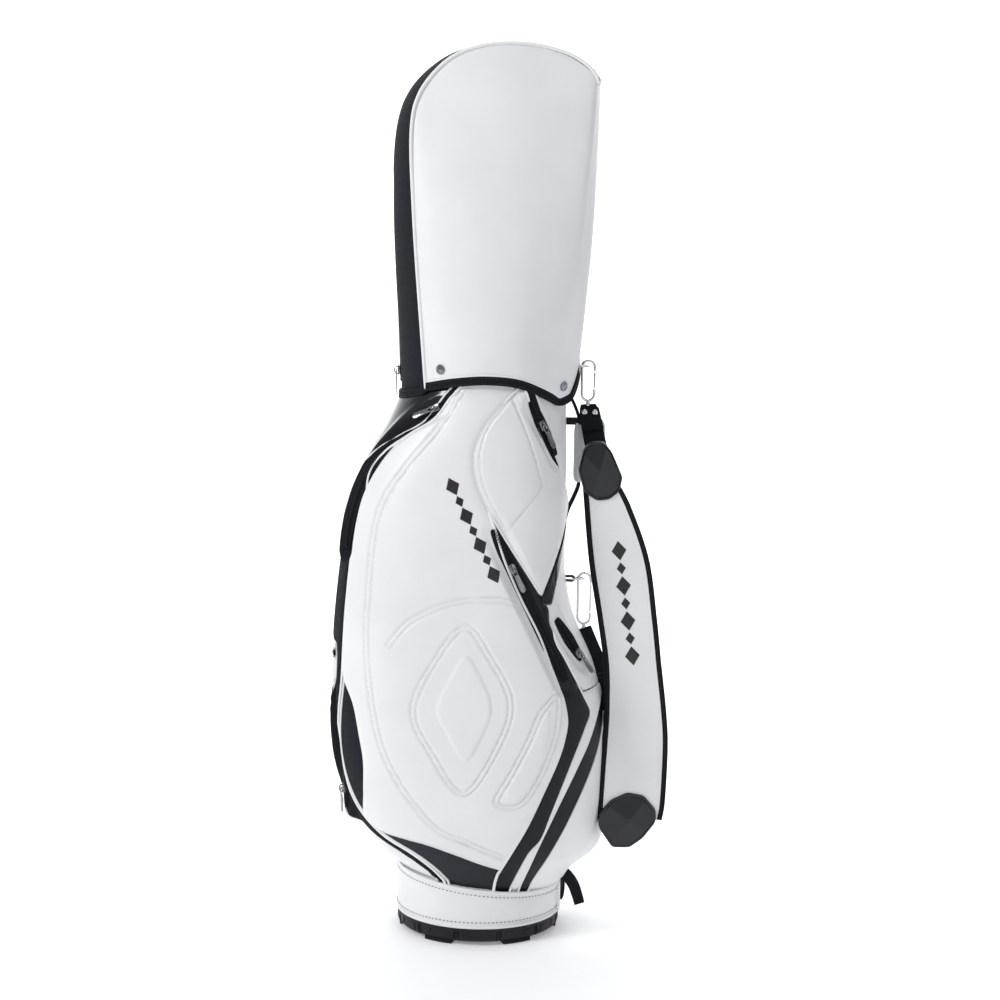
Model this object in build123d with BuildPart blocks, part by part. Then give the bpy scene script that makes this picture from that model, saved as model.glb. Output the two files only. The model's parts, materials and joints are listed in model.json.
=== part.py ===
"""Golf staff bag with rain hood, shoulder strap, grab handle and zipped pockets.

Millimetres. +Z is up and the origin is the middle of the base's underside. +X is the spine, where the
handle and the strap hang, -X is the front ball pocket, and -Y and +Y are the two long side pockets.
"""
from build123d import *
import os
from math import cos, radians, sin

os.makedirs("parts", exist_ok=True)

# Tube, base and mouth
TUBE_INNER = 106.0
TUBE_OUTER = 109.0
COVER_OUTER = 113.0
BASE_R = 118.0
BASE_HEIGHT = 24.0
BASE_SOCKET_TOP = 62.0
FLOOR_TOP = 14.0
FOOT_HEIGHT = 5.0
MOUTH_Z = 765.0
MOUTH_TOP = 842.0
MOUTH_R = 114.0
TOP_CUFF_R = 116.6
ROD_R = 2.5

# The base cuff's top edge is lower at the spine than at the front
CUFF_PLANE = Plane(origin=(0, 0, 82), x_dir=(1, 0, -0.11), z_dir=(0.11, 0, 1))
GAP = 0.4

# Divided mouth: a long bar along X and two cross bars along Y
BAR_WIDTH = 8.0
PANEL_WIDTH = 2.0
CROSS_X = 33.0
BAR_DEPTH = 28.0

# Pocketed body: height, front reach, spine reach, side reach, squareness of the quarters
BODY_ROWS = (
    (50, 114, 114, 114, 0.552),
    (95, 116, 140, 118, 0.56),
    (122, 143, 172, 129, 0.60),
    (170, 178, 182, 147, 0.66),
    (240, 206, 183, 160, 0.72),
    (320, 216, 181, 166, 0.74),
    (400, 215, 163, 167, 0.74),
    (460, 212, 134, 163, 0.74),
    (520, 206, 120, 158, 0.74),
    (590, 196, 118, 151, 0.74),
    (650, 182, 118, 144, 0.73),
    (700, 161, 118, 136, 0.70),
    (745, 135, 117, 127, 0.64),
    (790, 118, 116, 118, 0.57),
)
SKIN = 3.0
SPINE_TOP = 482.0
BALL_TOP = 478.0
LENS_BOTTOM = 515.0

# Rain hood: the same kind of rows, cut to a side profile
HOOD_ROWS = (
    (772, 121.5, 121.5, 121.5, 0.552),
    (880, 126, 126, 122, 0.58),
    (980, 131, 138, 119, 0.62),
    (1100, 132, 149, 113, 0.66),
    (1200, 132, 158, 108, 0.68),
    (1290, 132, 160, 104, 0.68),
)
HOOD_TOP = ((-132, 1105), (-124, 1165), (-100, 1213), (-62, 1249), (-18, 1268), (37, 1275), (98, 1267),
            (140, 1247), (158, 1222), (156, 1190))
HOOD_HEM = 772.0
BINDING = 12.0
NOTCH_TOP = 854.0
NOTCH_HALF = 46.0
GUSSET_HALF = 84.0
HOOD_SKIN = 2.8

# Zips: the woven tape, the chain of teeth on it and the slot they close
TAPE_HALF = 9.5
TAPE_TOP = 0.6
CHAIN_HALF = 2.5
CHAIN_TOP = 2.5
SLOT_HALF = 10.2
SLOT_DEPTH = 9.0
SLOT_RISE = 16.0
PIVOT_HEIGHT = 6.8
PULL_LENGTH = 36.0

# Straight zips: slider at rest, point that it travels towards, outward hint, reach behind, travel
STRAIGHT_ZIPS = {
    "near_rear": ((41, -150.0, 550), (128, -138.0, 370), (0.25, -1, 0), 62, 165, 1),
    "near_valuables": ((80, -100.5, 745), (97, -92.0, 708), (0.7, -1, 0.1), 40, 34, 1),
    "spine": ((136, -102.5, 424), (103, -121.0, 478), (0.8, -1, 0.2), 12, 50, -1),
    "ball": ((-193.5, -62.0, 215), (-203.5, -62.0, 425), (-1, -0.45, 0), 30, 190, -1),
    "hood": ((-121.5, 0, 815), (-131.5, 0, 1075), (-1, 0, 0), 16, 250, -1),
}
# Arc zips along the front edge of each side pocket: three points of the arc
ARC_ZIPS = {
    "near_front": ((-68, -105.5, 768), (-148, -71.0, 700), (-193, -73.0, 540)),
    "far_front": ((-68, 105.5, 768), (-148, 71.0, 700), (-193, 73.0, 540)),
}
ARC_BEHIND = 3.0
ARC_TRAVEL = 66.0

# Spine hardware and shoulder strap
STRAP_X = 138.0
STRAP_Y = -18.0
UPPER_Z = 812.0
LOWER_Z = 505.0
STRAP_FACE = -19.2
PAD_FACE = -74.0
PAD_THICK = 11.0
WIRE = 2.0
HANDLE_HALF = 12.0


def section(z, front, spine, side, square, inset=0.0):
    """Closed cross-section made of four Bezier quarters, shrunk all round by inset."""
    f = front - inset
    s = spine - inset
    b = side - inset
    with BuildSketch(Plane.XY.offset(z)) as profile:
        with BuildLine():
            Bezier((s, 0), (s, square * b), (square * s, b), (0, b))
            Bezier((0, b), (-square * f, b), (-f, square * b), (-f, 0))
            Bezier((-f, 0), (-f, -square * b), (-square * f, -b), (0, -b))
            Bezier((0, -b), (square * s, -b), (s, -square * b), (s, 0))
        make_face()
    return profile.sketch.face()


def wedge(start, stop, bottom, top, reach=330.0):
    """Sector about the bag's axis between two angles and two heights."""
    middle = (start + stop) / 2
    corners = [(reach * cos(radians(a)), reach * sin(radians(a))) for a in (start, middle, stop)]
    with BuildSketch(Plane.XY.offset(bottom)) as sketch:
        with BuildLine():
            Polyline((0, 0), *corners, close=True)
        make_face()
    return extrude(sketch.sketch, amount=top - bottom, mode=Mode.PRIVATE)


def ring(outer, inner, bottom, top):
    """Plain tube about Z."""
    with BuildSketch(Plane.XY.offset(bottom)) as profile:
        Circle(outer)
        Circle(inner, mode=Mode.SUBTRACT)
    extrude(profile.sketch, amount=top - bottom)


def side_plate(points, face, thickness, curved=True):
    """Plate with an outline in the XZ plane, from face back towards +Y."""
    with BuildSketch(Plane(origin=(0, face, 0), x_dir=(1, 0, 0), z_dir=(0, -1, 0))) as outline:
        with BuildLine():
            if curved:
                left, right = points
                Spline(*left)
                Spline(*right)
                Line(left[0], right[0])
                Line(left[-1], right[-1])
            else:
                Polyline(*points, close=True)
        make_face()
    extrude(outline.sketch, amount=-thickness)


def save(part, name):
    part.label = name
    export_step(part, f"parts/{name}.step")


# ------------------------------------------------------------------ zip geometry
class Track:
    """Where one zip runs: its slider's frame at rest and how its profile is drawn along it."""

    def __init__(self, rest, along, outward, pull_sign):
        self.rest = Vector(*rest)
        self.along = along.normalized()
        self.out = (outward - self.along * outward.dot(self.along)).normalized()
        self.pull_sign = pull_sign
        self.frame = Plane(origin=self.rest, x_dir=self.along, z_dir=self.out)
        pull_along = self.along * pull_sign
        self.pull_frame = Plane(origin=self.rest + self.out * PIVOT_HEIGHT, x_dir=pull_along, z_dir=self.out)


class StraightTrack(Track):
    def __init__(self, rest, towards, hint, behind, travel, pull_sign):
        super().__init__(rest, Vector(*towards) - Vector(*rest), Vector(*hint), pull_sign)
        self.start = self.rest - self.along * behind
        self.length = behind + travel + 14

    def run(self, half, low, high):
        """Rectangle across the track, drawn along its whole length."""
        across = self.out.cross(self.along)
        with BuildSketch(Plane(origin=self.start, x_dir=across, z_dir=self.along)) as profile:
            with Locations((0, (low + high) / 2)):
                Rectangle(2 * half, high - low)
        return extrude(profile.sketch, amount=self.length, dir=tuple(self.along), mode=Mode.PRIVATE)


class ArcTrack(Track):
    def __init__(self, first, middle, last):
        a = Vector(*first)
        b = Vector(*middle) - a
        c = Vector(*last) - a
        n = b.cross(c)
        offset = (n.cross(b) * c.dot(c) + c.cross(n) * b.dot(b)) * (1 / (2 * n.dot(n)))
        self.centre = a + offset
        radial = (a - self.centre).normalized()
        outward = n.normalized()
        if outward.dot(Vector(a.X, a.Y, 0)) < 0:
            outward = outward * -1
        along = outward.cross(radial)
        if along.Z > 0:
            along = along * -1
        self.axis = radial.cross(along)
        super().__init__(first, along, outward, 1)

    def run(self, half, low, high):
        turn = Axis(self.centre, self.axis)
        arm = (self.rest - self.centre).rotate(Axis((0, 0, 0), self.axis), -ARC_BEHIND)
        along = self.along.rotate(Axis((0, 0, 0), self.axis), -ARC_BEHIND)
        across = self.out.cross(along)
        with BuildSketch(Plane(origin=self.centre + arm, x_dir=across, z_dir=along)) as profile:
            with Locations((0, (low + high) / 2)):
                Rectangle(2 * half, high - low)
        sweep_angle = ARC_BEHIND + ARC_TRAVEL + 4
        return revolve(profile.sketch, axis=turn, revolution_arc=sweep_angle, mode=Mode.PRIVATE)


tracks = {}
for zip_name, values in STRAIGHT_ZIPS.items():
    tracks[zip_name] = StraightTrack(*values)
for zip_name, values in ARC_ZIPS.items():
    tracks[zip_name] = ArcTrack(*values)
slots = {name: track.run(SLOT_HALF, -SLOT_DEPTH, SLOT_RISE) for name, track in tracks.items()}

# ------------------------------------------------------------------ base
with BuildPart() as base_cup:
    with BuildSketch(Plane.XZ):
        with BuildLine():
            Polyline((0, 0), (72, 0), (76, FOOT_HEIGHT), (BASE_R - 3, FOOT_HEIGHT), (BASE_R, FOOT_HEIGHT + 3),
                     (BASE_R, BASE_HEIGHT), (112.6, BASE_HEIGHT), (112.6, BASE_SOCKET_TOP),
                     (TUBE_OUTER + 0.3, BASE_SOCKET_TOP), (TUBE_OUTER + 0.3, FLOOR_TOP), (0, FLOOR_TOP), close=True)
        make_face()
    revolve(axis=Axis.Z)
    with PolarLocations(BASE_R, 12, start_angle=15):
        Cylinder(4, BASE_HEIGHT - 4, align=(Align.CENTER, Align.CENTER, Align.MIN), mode=Mode.SUBTRACT)
save(base_cup.part, "base_cup")

with BuildPart() as base_feet:
    for step in range(6):
        add(wedge(60 * step - 11, 60 * step + 11, 0, FOOT_HEIGHT))
    with BuildSketch(Plane.XY):
        Circle(BASE_R - 2)
        Circle(84, mode=Mode.SUBTRACT)
    extrude(amount=FOOT_HEIGHT, mode=Mode.INTERSECT)
save(base_feet.part, "base_feet")

with BuildPart() as base_cuff:
    ring(BASE_R, COVER_OUTER + GAP, BASE_HEIGHT + GAP, 110)
    with Locations(CUFF_PLANE.offset(-GAP)):
        Box(900, 900, 100, align=(Align.CENTER, Align.CENTER, Align.MIN), mode=Mode.SUBTRACT)
save(base_cuff.part, "base_cuff")

# ------------------------------------------------------------------ tube, mouth and dividers
with BuildPart() as inner_tube:
    ring(TUBE_OUTER, TUBE_INNER, FLOOR_TOP + GAP, MOUTH_TOP - 6)
save(inner_tube.part, "inner_tube")

with BuildPart() as tube_cover:
    ring(COVER_OUTER, TUBE_OUTER + GAP, BASE_SOCKET_TOP + GAP, MOUTH_Z - GAP)
save(tube_cover.part, "tube_cover")

with BuildPart() as stiffener_rods:
    with Locations((0, 0, FLOOR_TOP + GAP)):
        with PolarLocations(TUBE_INNER - ROD_R - GAP, 3, start_angle=20):
            Cylinder(ROD_R, 740, align=(Align.CENTER, Align.CENTER, Align.MIN))
save(stiffener_rods.part, "stiffener_rods")

with BuildPart() as top_ring:
    with BuildSketch(Plane.XZ):
        with BuildLine():
            Polyline((TUBE_OUTER + GAP, MOUTH_Z), (MOUTH_R, MOUTH_Z), (MOUTH_R, MOUTH_TOP - 3), (MOUTH_R - 3, MOUTH_TOP),
                     (TUBE_INNER + 1, MOUTH_TOP), (TUBE_INNER, MOUTH_TOP - 2), (TUBE_INNER, MOUTH_TOP - 6 + GAP),
                     (TUBE_OUTER + GAP, MOUTH_TOP - 6 + GAP), close=True)
        make_face()
    revolve(axis=Axis.Z)
save(top_ring.part, "top_ring")

with BuildPart() as top_cuff:
    ring(TOP_CUFF_R, MOUTH_R + GAP, MOUTH_Z + 2, MOUTH_TOP - 8)
save(top_cuff.part, "top_cuff")

divider_reach = TUBE_INNER - GAP
bar_middle = MOUTH_TOP - BAR_DEPTH / 2 - 6
panel_bottom = FLOOR_TOP + 40
panel_top = MOUTH_TOP - BAR_DEPTH - 6 - GAP
cross_half = (divider_reach**2 - (CROSS_X + BAR_WIDTH) ** 2) ** 0.5


def divider_set(width, depth, middle):
    """One long divider along X and four cross dividers that butt against it."""
    with Locations((0, 0, middle)):
        Box(2 * divider_reach - 2, width, depth)
    cross_middle = (width / 2 + GAP + cross_half) / 2
    spots = [(sx * CROSS_X, sy * cross_middle, middle) for sx in (-1, 1) for sy in (-1, 1)]
    with Locations(*spots):
        Box(width, cross_half - width / 2 - GAP, depth)


with BuildPart() as divider_bars:
    divider_set(BAR_WIDTH, BAR_DEPTH, bar_middle)
    fillet(divider_bars.edges().filter_by(Axis.X).group_by(Axis.Z)[-1], BAR_WIDTH * 0.45)
save(divider_bars.part, "divider_bars")

with BuildPart() as divider_panels:
    divider_set(PANEL_WIDTH, panel_top - panel_bottom, (panel_bottom + panel_top) / 2)
save(divider_panels.part, "divider_panels")

# ------------------------------------------------------------------ pocket skins
with BuildPart() as body_inner:
    loft([section(*row, inset=SKIN) for row in BODY_ROWS])

with BuildPart() as body_shell:
    loft([section(*row) for row in BODY_ROWS])
    add(body_inner.part, mode=Mode.SUBTRACT)
    with BuildSketch(Plane.XY):
        Circle(COVER_OUTER + GAP)
    extrude(amount=900, mode=Mode.SUBTRACT)
    with Locations(CUFF_PLANE.offset(GAP)):
        Box(900, 900, 100, align=(Align.CENTER, Align.CENTER, Align.MAX), mode=Mode.SUBTRACT)
    with Locations((0, 0, MOUTH_Z + 2)):
        Box(600, 600, 100, align=(Align.CENTER, Align.CENTER, Align.MIN), mode=Mode.SUBTRACT)


def pocket(sectors, zips):
    """Piece of the body shell inside the sectors, slotted for its zips."""
    with BuildPart() as keep:
        for sector in sectors:
            add(wedge(*sector))
    with BuildPart() as piece:
        add(body_shell.part)
        add(keep.part, mode=Mode.INTERSECT)
        for name in zips:
            add(slots[name], mode=Mode.SUBTRACT)
    return piece.part


SEAM = 0.2
top = MOUTH_Z + 1
pockets = {
    "near_side_pocket": pocket([(217.2, 272, 60, top), (272, 322, 60, LENS_BOTTOM - SEAM)],
                               ["near_front", "near_rear", "ball", "spine"]),
    "far_side_pocket": pocket([(88, 142.8, 60, top), (38, 88, 60, LENS_BOTTOM - SEAM)],
                              ["far_front"]),
    "near_valuables_pocket": pocket([(272.3, 318, LENS_BOTTOM + SEAM, top)], ["near_valuables", "near_rear"]),
    "far_upper_panel": pocket([(42, 87.7, LENS_BOTTOM + SEAM, top)], []),
    "ball_pocket": pocket([(143.2, 216.8, 60, BALL_TOP)], ["ball"]),
    "front_accessory_pocket": pocket([(143.2, 216.8, BALL_TOP + GAP, top)], ["near_front", "far_front"]),
    "spine_pocket": pocket([(-37.6, 37.6, 60, SPINE_TOP)], ["spine"]),
}
for name, part in pockets.items():
    save(part, name)

# ------------------------------------------------------------------ rain hood
def hood_solid(inset):
    """Hood rows lofted, then cut to the side profile."""
    with BuildPart() as solid:
        loft([section(*row, inset=inset) for row in HOOD_ROWS])
        pulled = [(x * (1 - inset / 140), z - inset) for x, z in HOOD_TOP]
        with BuildSketch(Plane(origin=(0, -200, 0), x_dir=(1, 0, 0), z_dir=(0, -1, 0))):
            with BuildLine():
                Spline(*pulled)
                Polyline(pulled[-1], (200, 1100), (200, 700), (-200, 700), (-200, 1100), pulled[0])
            make_face()
        extrude(amount=-400, mode=Mode.INTERSECT)
    return solid.part


with BuildPart() as hood_shell:
    add(hood_solid(0))
    add(hood_solid(HOOD_SKIN), mode=Mode.SUBTRACT)
    with Locations((0, 0, HOOD_HEM - 50)):
        Box(600, 600, 50, align=(Align.CENTER, Align.CENTER, Align.MIN), mode=Mode.SUBTRACT)
    with Locations((60, 0, HOOD_HEM - 5)):
        Box(140, 2 * NOTCH_HALF, NOTCH_TOP - HOOD_HEM + 5, align=(Align.MIN, Align.CENTER, Align.MIN),
            mode=Mode.SUBTRACT)


def gusset_region():
    """Everything that belongs to the front and top gusset: front face, dome and roof between the seams."""
    with BuildPart() as region:
        with Locations((-200, 0, HOOD_HEM - 10)):
            Box(150, 2 * GUSSET_HALF, 600, align=(Align.MIN, Align.CENTER, Align.MIN))
        with Locations((-60, 0, 1200)):
            Box(205, 2 * GUSSET_HALF, 120, align=(Align.MIN, Align.CENTER, Align.MIN))
    return region.part


hem_box = Box(600, 600, BINDING, align=(Align.CENTER, Align.CENTER, Align.MIN), mode=Mode.PRIVATE)
hem_box = hem_box.moved(Location((0, 0, HOOD_HEM)))
hem_cut = Box(600, 600, BINDING + GAP, align=(Align.CENTER, Align.CENTER, Align.MIN), mode=Mode.PRIVATE)
hem_cut = hem_cut.moved(Location((0, 0, HOOD_HEM)))

with BuildPart() as hood_panel:
    add(hood_shell.part)
    add(gusset_region(), mode=Mode.SUBTRACT)
    add(hem_cut, mode=Mode.SUBTRACT)
save(hood_panel.part, "hood_panel")

with BuildPart() as hood_gusset:
    add(hood_shell.part)
    add(gusset_region(), mode=Mode.INTERSECT)
    add(hem_cut, mode=Mode.SUBTRACT)
    add(slots["hood"], mode=Mode.SUBTRACT)
save(hood_gusset.part, "hood_gusset")

with BuildPart() as hood_binding:
    add(hood_shell.part)
    add(hem_box, mode=Mode.INTERSECT)
save(hood_binding.part, "hood_binding")

SNAPS = ((239, 819), (336, 795), (121, 819), (24, 795))
with BuildPart() as hood_snaps:
    for angle, height in SNAPS:
        with Locations(Location((0, 0, height), (0, 0, angle)) * Location((123.6, 0, 0), (0, 90, 0))):
            Cylinder(7, 1.8, align=(Align.CENTER, Align.CENTER, Align.MIN))
save(hood_snaps.part, "hood_snaps")

with BuildPart() as snap_studs:
    for angle, height in SNAPS:
        with Locations(Location((0, 0, height), (0, 0, angle)) * Location((TOP_CUFF_R, 0, 0), (0, 90, 0))):
            Cylinder(4.5, 0.9, align=(Align.CENTER, Align.CENTER, Align.MIN))
save(snap_studs.part, "snap_studs")

# ------------------------------------------------------------------ zips
for name, track in tracks.items():
    with BuildPart() as zip_tape:
        add(track.run(TAPE_HALF, -0.6, TAPE_TOP))
        add(track.run(CHAIN_HALF, -0.6, CHAIN_TOP))
    save(zip_tape.part, f"{name}_zip")

    with BuildPart(track.frame) as slider:
        with Locations((0, 0, CHAIN_TOP + 0.4)):
            Box(13, 9.4, 1.8, align=(Align.CENTER, Align.CENTER, Align.MIN))
        with Locations((0, 3.85, TAPE_TOP + 0.4), (0, -3.85, TAPE_TOP + 0.4)):
            Box(13, 1.7, CHAIN_TOP - TAPE_TOP + 0.4, align=(Align.CENTER, Align.CENTER, Align.MIN))
        with Locations((0, 0, CHAIN_TOP + 2.0)):
            Box(10, 2.2, 5.8, align=(Align.CENTER, Align.CENTER, Align.MIN))
        with Locations((0, 0, PIVOT_HEIGHT)):
            Box(6, 4, 3.6, mode=Mode.SUBTRACT)
    save(slider.part, f"{name}_slider")

    with BuildPart(track.pull_frame) as pull:
        Cylinder(1.2, 5.6, rotation=(90, 0, 0))
        with Locations((4.5, 2.2, 0), (4.5, -2.2, 0)):
            Box(11, 1.2, 2.0)
        with Locations((9.4, 0, 0)):
            Box(2.4, 5.6, 2.0)
        with Locations((9.4, 0, 0)):
            Box(PULL_LENGTH - 9.4, 8.0, 1.6, align=(Align.MIN, Align.CENTER, Align.CENTER))
    save(pull.part, f"{name}_pull")

# ------------------------------------------------------------------ grab handle
with BuildPart() as handle_straps:
    side_plate([(117.1, 786), (121, 782), (131, 760), (135, 741), (141, 741), (137, 764), (126, 786), (120, 792),
                (120, 808), (117.1, 808)], -HANDLE_HALF, 2 * HANDLE_HALF, curved=False)
    side_plate([(113.6, 612), (121, 616), (131, 638), (135, 657), (141, 657), (137, 634), (126, 610), (116.5, 604),
                (116.5, 588), (113.6, 588)], -HANDLE_HALF, 2 * HANDLE_HALF, curved=False)
save(handle_straps.part, "handle_straps")

with BuildPart() as handle_grip:
    with Locations((137.5, 0, 699)):
        Box(10, 2 * HANDLE_HALF, 82)
    fillet(handle_grip.edges().filter_by(Axis.Z), 4)
save(handle_grip.part, "handle_grip")

with BuildPart() as handle_rivets:
    spots = [Location((x, y, z), (0, 90, 0)) for y in (-6, 6) for x, z in ((120.8, 800), (117.3, 596))]
    with Locations(*spots):
        Cylinder(3.5, 1.4)
save(handle_rivets.part, "handle_rivets")


# ------------------------------------------------------------------ anchors and hooks
def wire_loop(x, y, low, high, half_width):
    """Closed round-ended loop of wire in a plane parallel to XZ."""
    straight = high - low - 2 * half_width
    centre = (low + high) / 2
    with BuildSketch(Plane(origin=(x, y, centre), x_dir=(0, 0, 1), z_dir=(0, -1, 0))) as outline:
        SlotCenterToCenter(straight, 2 * (half_width + WIRE))
        SlotCenterToCenter(straight, 2 * (half_width - WIRE), mode=Mode.SUBTRACT)
    extrude(outline.sketch, amount=WIRE, both=True)


ANCHORS = ((TOP_CUFF_R + GAP, UPPER_Z), (COVER_OUTER + GAP, LOWER_Z))
with BuildPart() as strap_anchors:
    for root, height in ANCHORS:
        with Locations((root, STRAP_Y, height + 8)):
            Box(129 - root, 20, 10, align=(Align.MIN, Align.CENTER, Align.MIN))
save(strap_anchors.part, "strap_anchors")

with BuildPart() as strap_rings:
    for root, height in ANCHORS:
        with BuildSketch(Plane(origin=(136, STRAP_Y, height + 13), z_dir=(0, 0, 1))):
            SlotCenterToCenter(6, 20)
            SlotCenterToCenter(6, 14, mode=Mode.SUBTRACT)
        extrude(amount=1.5, both=True)
        with Locations((129.3, STRAP_Y, height + 13)):
            Box(40, 40, 10, align=(Align.MAX, Align.CENTER, Align.CENTER), mode=Mode.SUBTRACT)
save(strap_rings.part, "strap_rings")

HOOKS = {"upper": (776, 833), "lower": (452, 526)}
HOOK_X = 147.5
HOOK_HALF = 9.0
GATE_GAP = 1.0
for name, (low, high) in HOOKS.items():
    gate_low = low + 16
    gate_high = high - 16
    with BuildPart() as hook:
        wire_loop(HOOK_X, STRAP_Y, low, high, HOOK_HALF)
        with Locations((HOOK_X + HOOK_HALF, STRAP_Y, gate_low)):
            Box(6, 6, gate_high - gate_low, align=(Align.CENTER, Align.CENTER, Align.MIN), mode=Mode.SUBTRACT)
    save(hook.part, f"{name}_hook")

    with BuildPart() as gate:
        with Locations((HOOK_X + HOOK_HALF, STRAP_Y, gate_low + GATE_GAP)):
            Box(3, 3, gate_high - gate_low - 2 * GATE_GAP, align=(Align.CENTER, Align.CENTER, Align.MIN))
    save(gate.part, f"{name}_gate")

TOWEL_X = 160.0
TOWEL_Y = 34.0
with BuildPart() as towel_ring:
    wire_loop(TOWEL_X, TOWEL_Y, 668, 748, 14)
save(towel_ring.part, "towel_ring")

with BuildPart() as towel_tab:
    with Locations((COVER_OUTER + GAP, TOWEL_Y - 4.75, 742), (COVER_OUTER + GAP, TOWEL_Y + 4.75, 742)):
        Box(TOWEL_X + 3 - COVER_OUTER - GAP, 2.5, 9, align=(Align.MIN, Align.CENTER, Align.CENTER))
    with Locations((TOWEL_X, TOWEL_Y, 741.9)):
        Cylinder(2, 9, rotation=(90, 0, 0))
save(towel_tab.part, "towel_tab")

with BuildPart() as umbrella_strap:
    with Locations((BASE_R + 2 + GAP, 34, 28)):
        Box(3, 24, 46, align=(Align.MIN, Align.CENTER, Align.MIN))
save(umbrella_strap.part, "umbrella_strap")

# ------------------------------------------------------------------ shoulder strap
with BuildPart() as strap_webbing:
    side_plate([(134, 773), (140, 740), (152, 694), (190, 694), (176, 740), (163, 773)], STRAP_FACE, 2.4,
               curved=False)
save(strap_webbing.part, "strap_webbing")

with BuildPart() as strap_upper_end:
    side_plate([(146, 693), (136, 660), (138, 636), (160, 612), (186, 612), (206, 634), (206, 658), (194, 693)],
               PAD_FACE + 8, STRAP_FACE - PAD_FACE - 6, curved=False)
save(strap_upper_end.part, "strap_upper_end")

with BuildPart() as strap_pad:
    side_plate((((140, 611), (152, 548), (166, 470), (178, 395), (180, 286), (173, 176)),
                ((208, 611), (237, 548), (250, 470), (258, 395), (271, 286), (268, 176))), PAD_FACE, PAD_THICK)
save(strap_pad.part, "strap_pad")

with BuildPart() as strap_lower_end:
    side_plate([(173, 175), (173, 140), (192, 110), (236, 108), (262, 140), (268, 175)], PAD_FACE - 1,
               PAD_THICK + 4, curved=False)
save(strap_lower_end.part, "strap_lower_end")

with BuildPart() as strap_return:
    side_plate([(196, 130), (232, 130), (226, 250), (190, 420), (158, 440), (150, 425), (176, 380), (190, 250)],
               PAD_FACE + PAD_THICK + 4, 3, curved=False)
save(strap_return.part, "strap_return")
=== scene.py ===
"""Looks of the golf staff bag: quilted leather panels, piping, zips, rain hood, strap and hardware.

Lengths here are millimetres unless a name says otherwise. MM turns them into metres when a mesh is made.
+X is the spine, -X the front, -Y the near side and +Z is up, as in the CAD model.
"""
import json
import math

import bmesh
import bpy
import numpy as np
from mathutils import Matrix, Vector


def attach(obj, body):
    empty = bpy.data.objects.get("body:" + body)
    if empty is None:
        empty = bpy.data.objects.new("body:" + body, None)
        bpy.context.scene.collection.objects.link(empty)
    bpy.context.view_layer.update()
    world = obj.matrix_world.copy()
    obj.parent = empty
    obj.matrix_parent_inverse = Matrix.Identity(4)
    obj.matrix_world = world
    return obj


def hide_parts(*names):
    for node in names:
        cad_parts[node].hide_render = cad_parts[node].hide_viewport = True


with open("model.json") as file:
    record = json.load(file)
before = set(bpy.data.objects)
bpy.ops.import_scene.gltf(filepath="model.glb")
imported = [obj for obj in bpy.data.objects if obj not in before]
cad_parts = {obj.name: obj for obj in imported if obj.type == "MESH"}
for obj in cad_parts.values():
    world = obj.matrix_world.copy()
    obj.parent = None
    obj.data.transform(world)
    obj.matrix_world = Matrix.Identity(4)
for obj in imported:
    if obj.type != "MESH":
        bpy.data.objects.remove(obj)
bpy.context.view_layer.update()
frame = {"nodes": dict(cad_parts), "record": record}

MM = 0.001

# Camera: where it stands, how far it looks down and leans, and its focal length in image widths
CAMERA_PLACE = (0.0, -3.05, 0.983)
CAMERA_PITCH = math.radians(6.8)
CAMERA_ROLL = math.radians(0.8)
FOCAL_WIDTHS = 2.118
SENSOR_MM = 36.0
SHIFT = (0.0165, 0.006)


# ============================================================ materials
def new_material(name, color, rough, metal=0.0, **sockets):
    """Principled material with its plain sockets set; returns what later steps need."""
    material = bpy.data.materials.new(name)
    material.use_nodes = True
    nodes = material.node_tree.nodes
    shader = nodes["Principled BSDF"]
    shader.inputs["Base Color"].default_value = (*color, 1)
    shader.inputs["Roughness"].default_value = rough
    shader.inputs["Metallic"].default_value = metal
    for socket, value in sockets.items():
        shader.inputs[socket.replace("_", " ")].default_value = value
    material.diffuse_color = (*color, 1)
    return material, nodes, material.node_tree.links, shader


def texture(nodes, links, kind, coords, scale, **values):
    """One texture node fed from a coordinate output."""
    node = nodes.new(kind)
    node.inputs["Scale"].default_value = scale
    for socket, value in values.items():
        node.inputs[socket].default_value = value
    links.new(coords, node.inputs["Vector"])
    return node


def coordinates(nodes, kind="Object"):
    return nodes.new("ShaderNodeTexCoord").outputs[kind]


def ramp(nodes, links, value, low, high, color_low, color_high):
    node = nodes.new("ShaderNodeValToRGB")
    node.color_ramp.elements[0].position = low
    node.color_ramp.elements[0].color = (*color_low, 1)
    node.color_ramp.elements[1].position = high
    node.color_ramp.elements[1].color = (*color_high, 1)
    links.new(value, node.inputs["Fac"])
    return node.outputs["Color"]


def spread(nodes, links, value, low, high):
    """Maps a 0..1 value to low..high."""
    node = nodes.new("ShaderNodeMapRange")
    node.inputs["To Min"].default_value = low
    node.inputs["To Max"].default_value = high
    links.new(value, node.inputs["Value"])
    return node.outputs["Result"]


def bump(nodes, links, shader, height, distance, strength=1.0, under=None):
    node = nodes.new("ShaderNodeBump")
    node.inputs["Distance"].default_value = distance
    node.inputs["Strength"].default_value = strength
    links.new(height, node.inputs["Height"])
    if under is not None:
        links.new(under, node.inputs["Normal"])
    links.new(node.outputs["Normal"], shader.inputs["Normal"])
    return node.outputs["Normal"]


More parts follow.
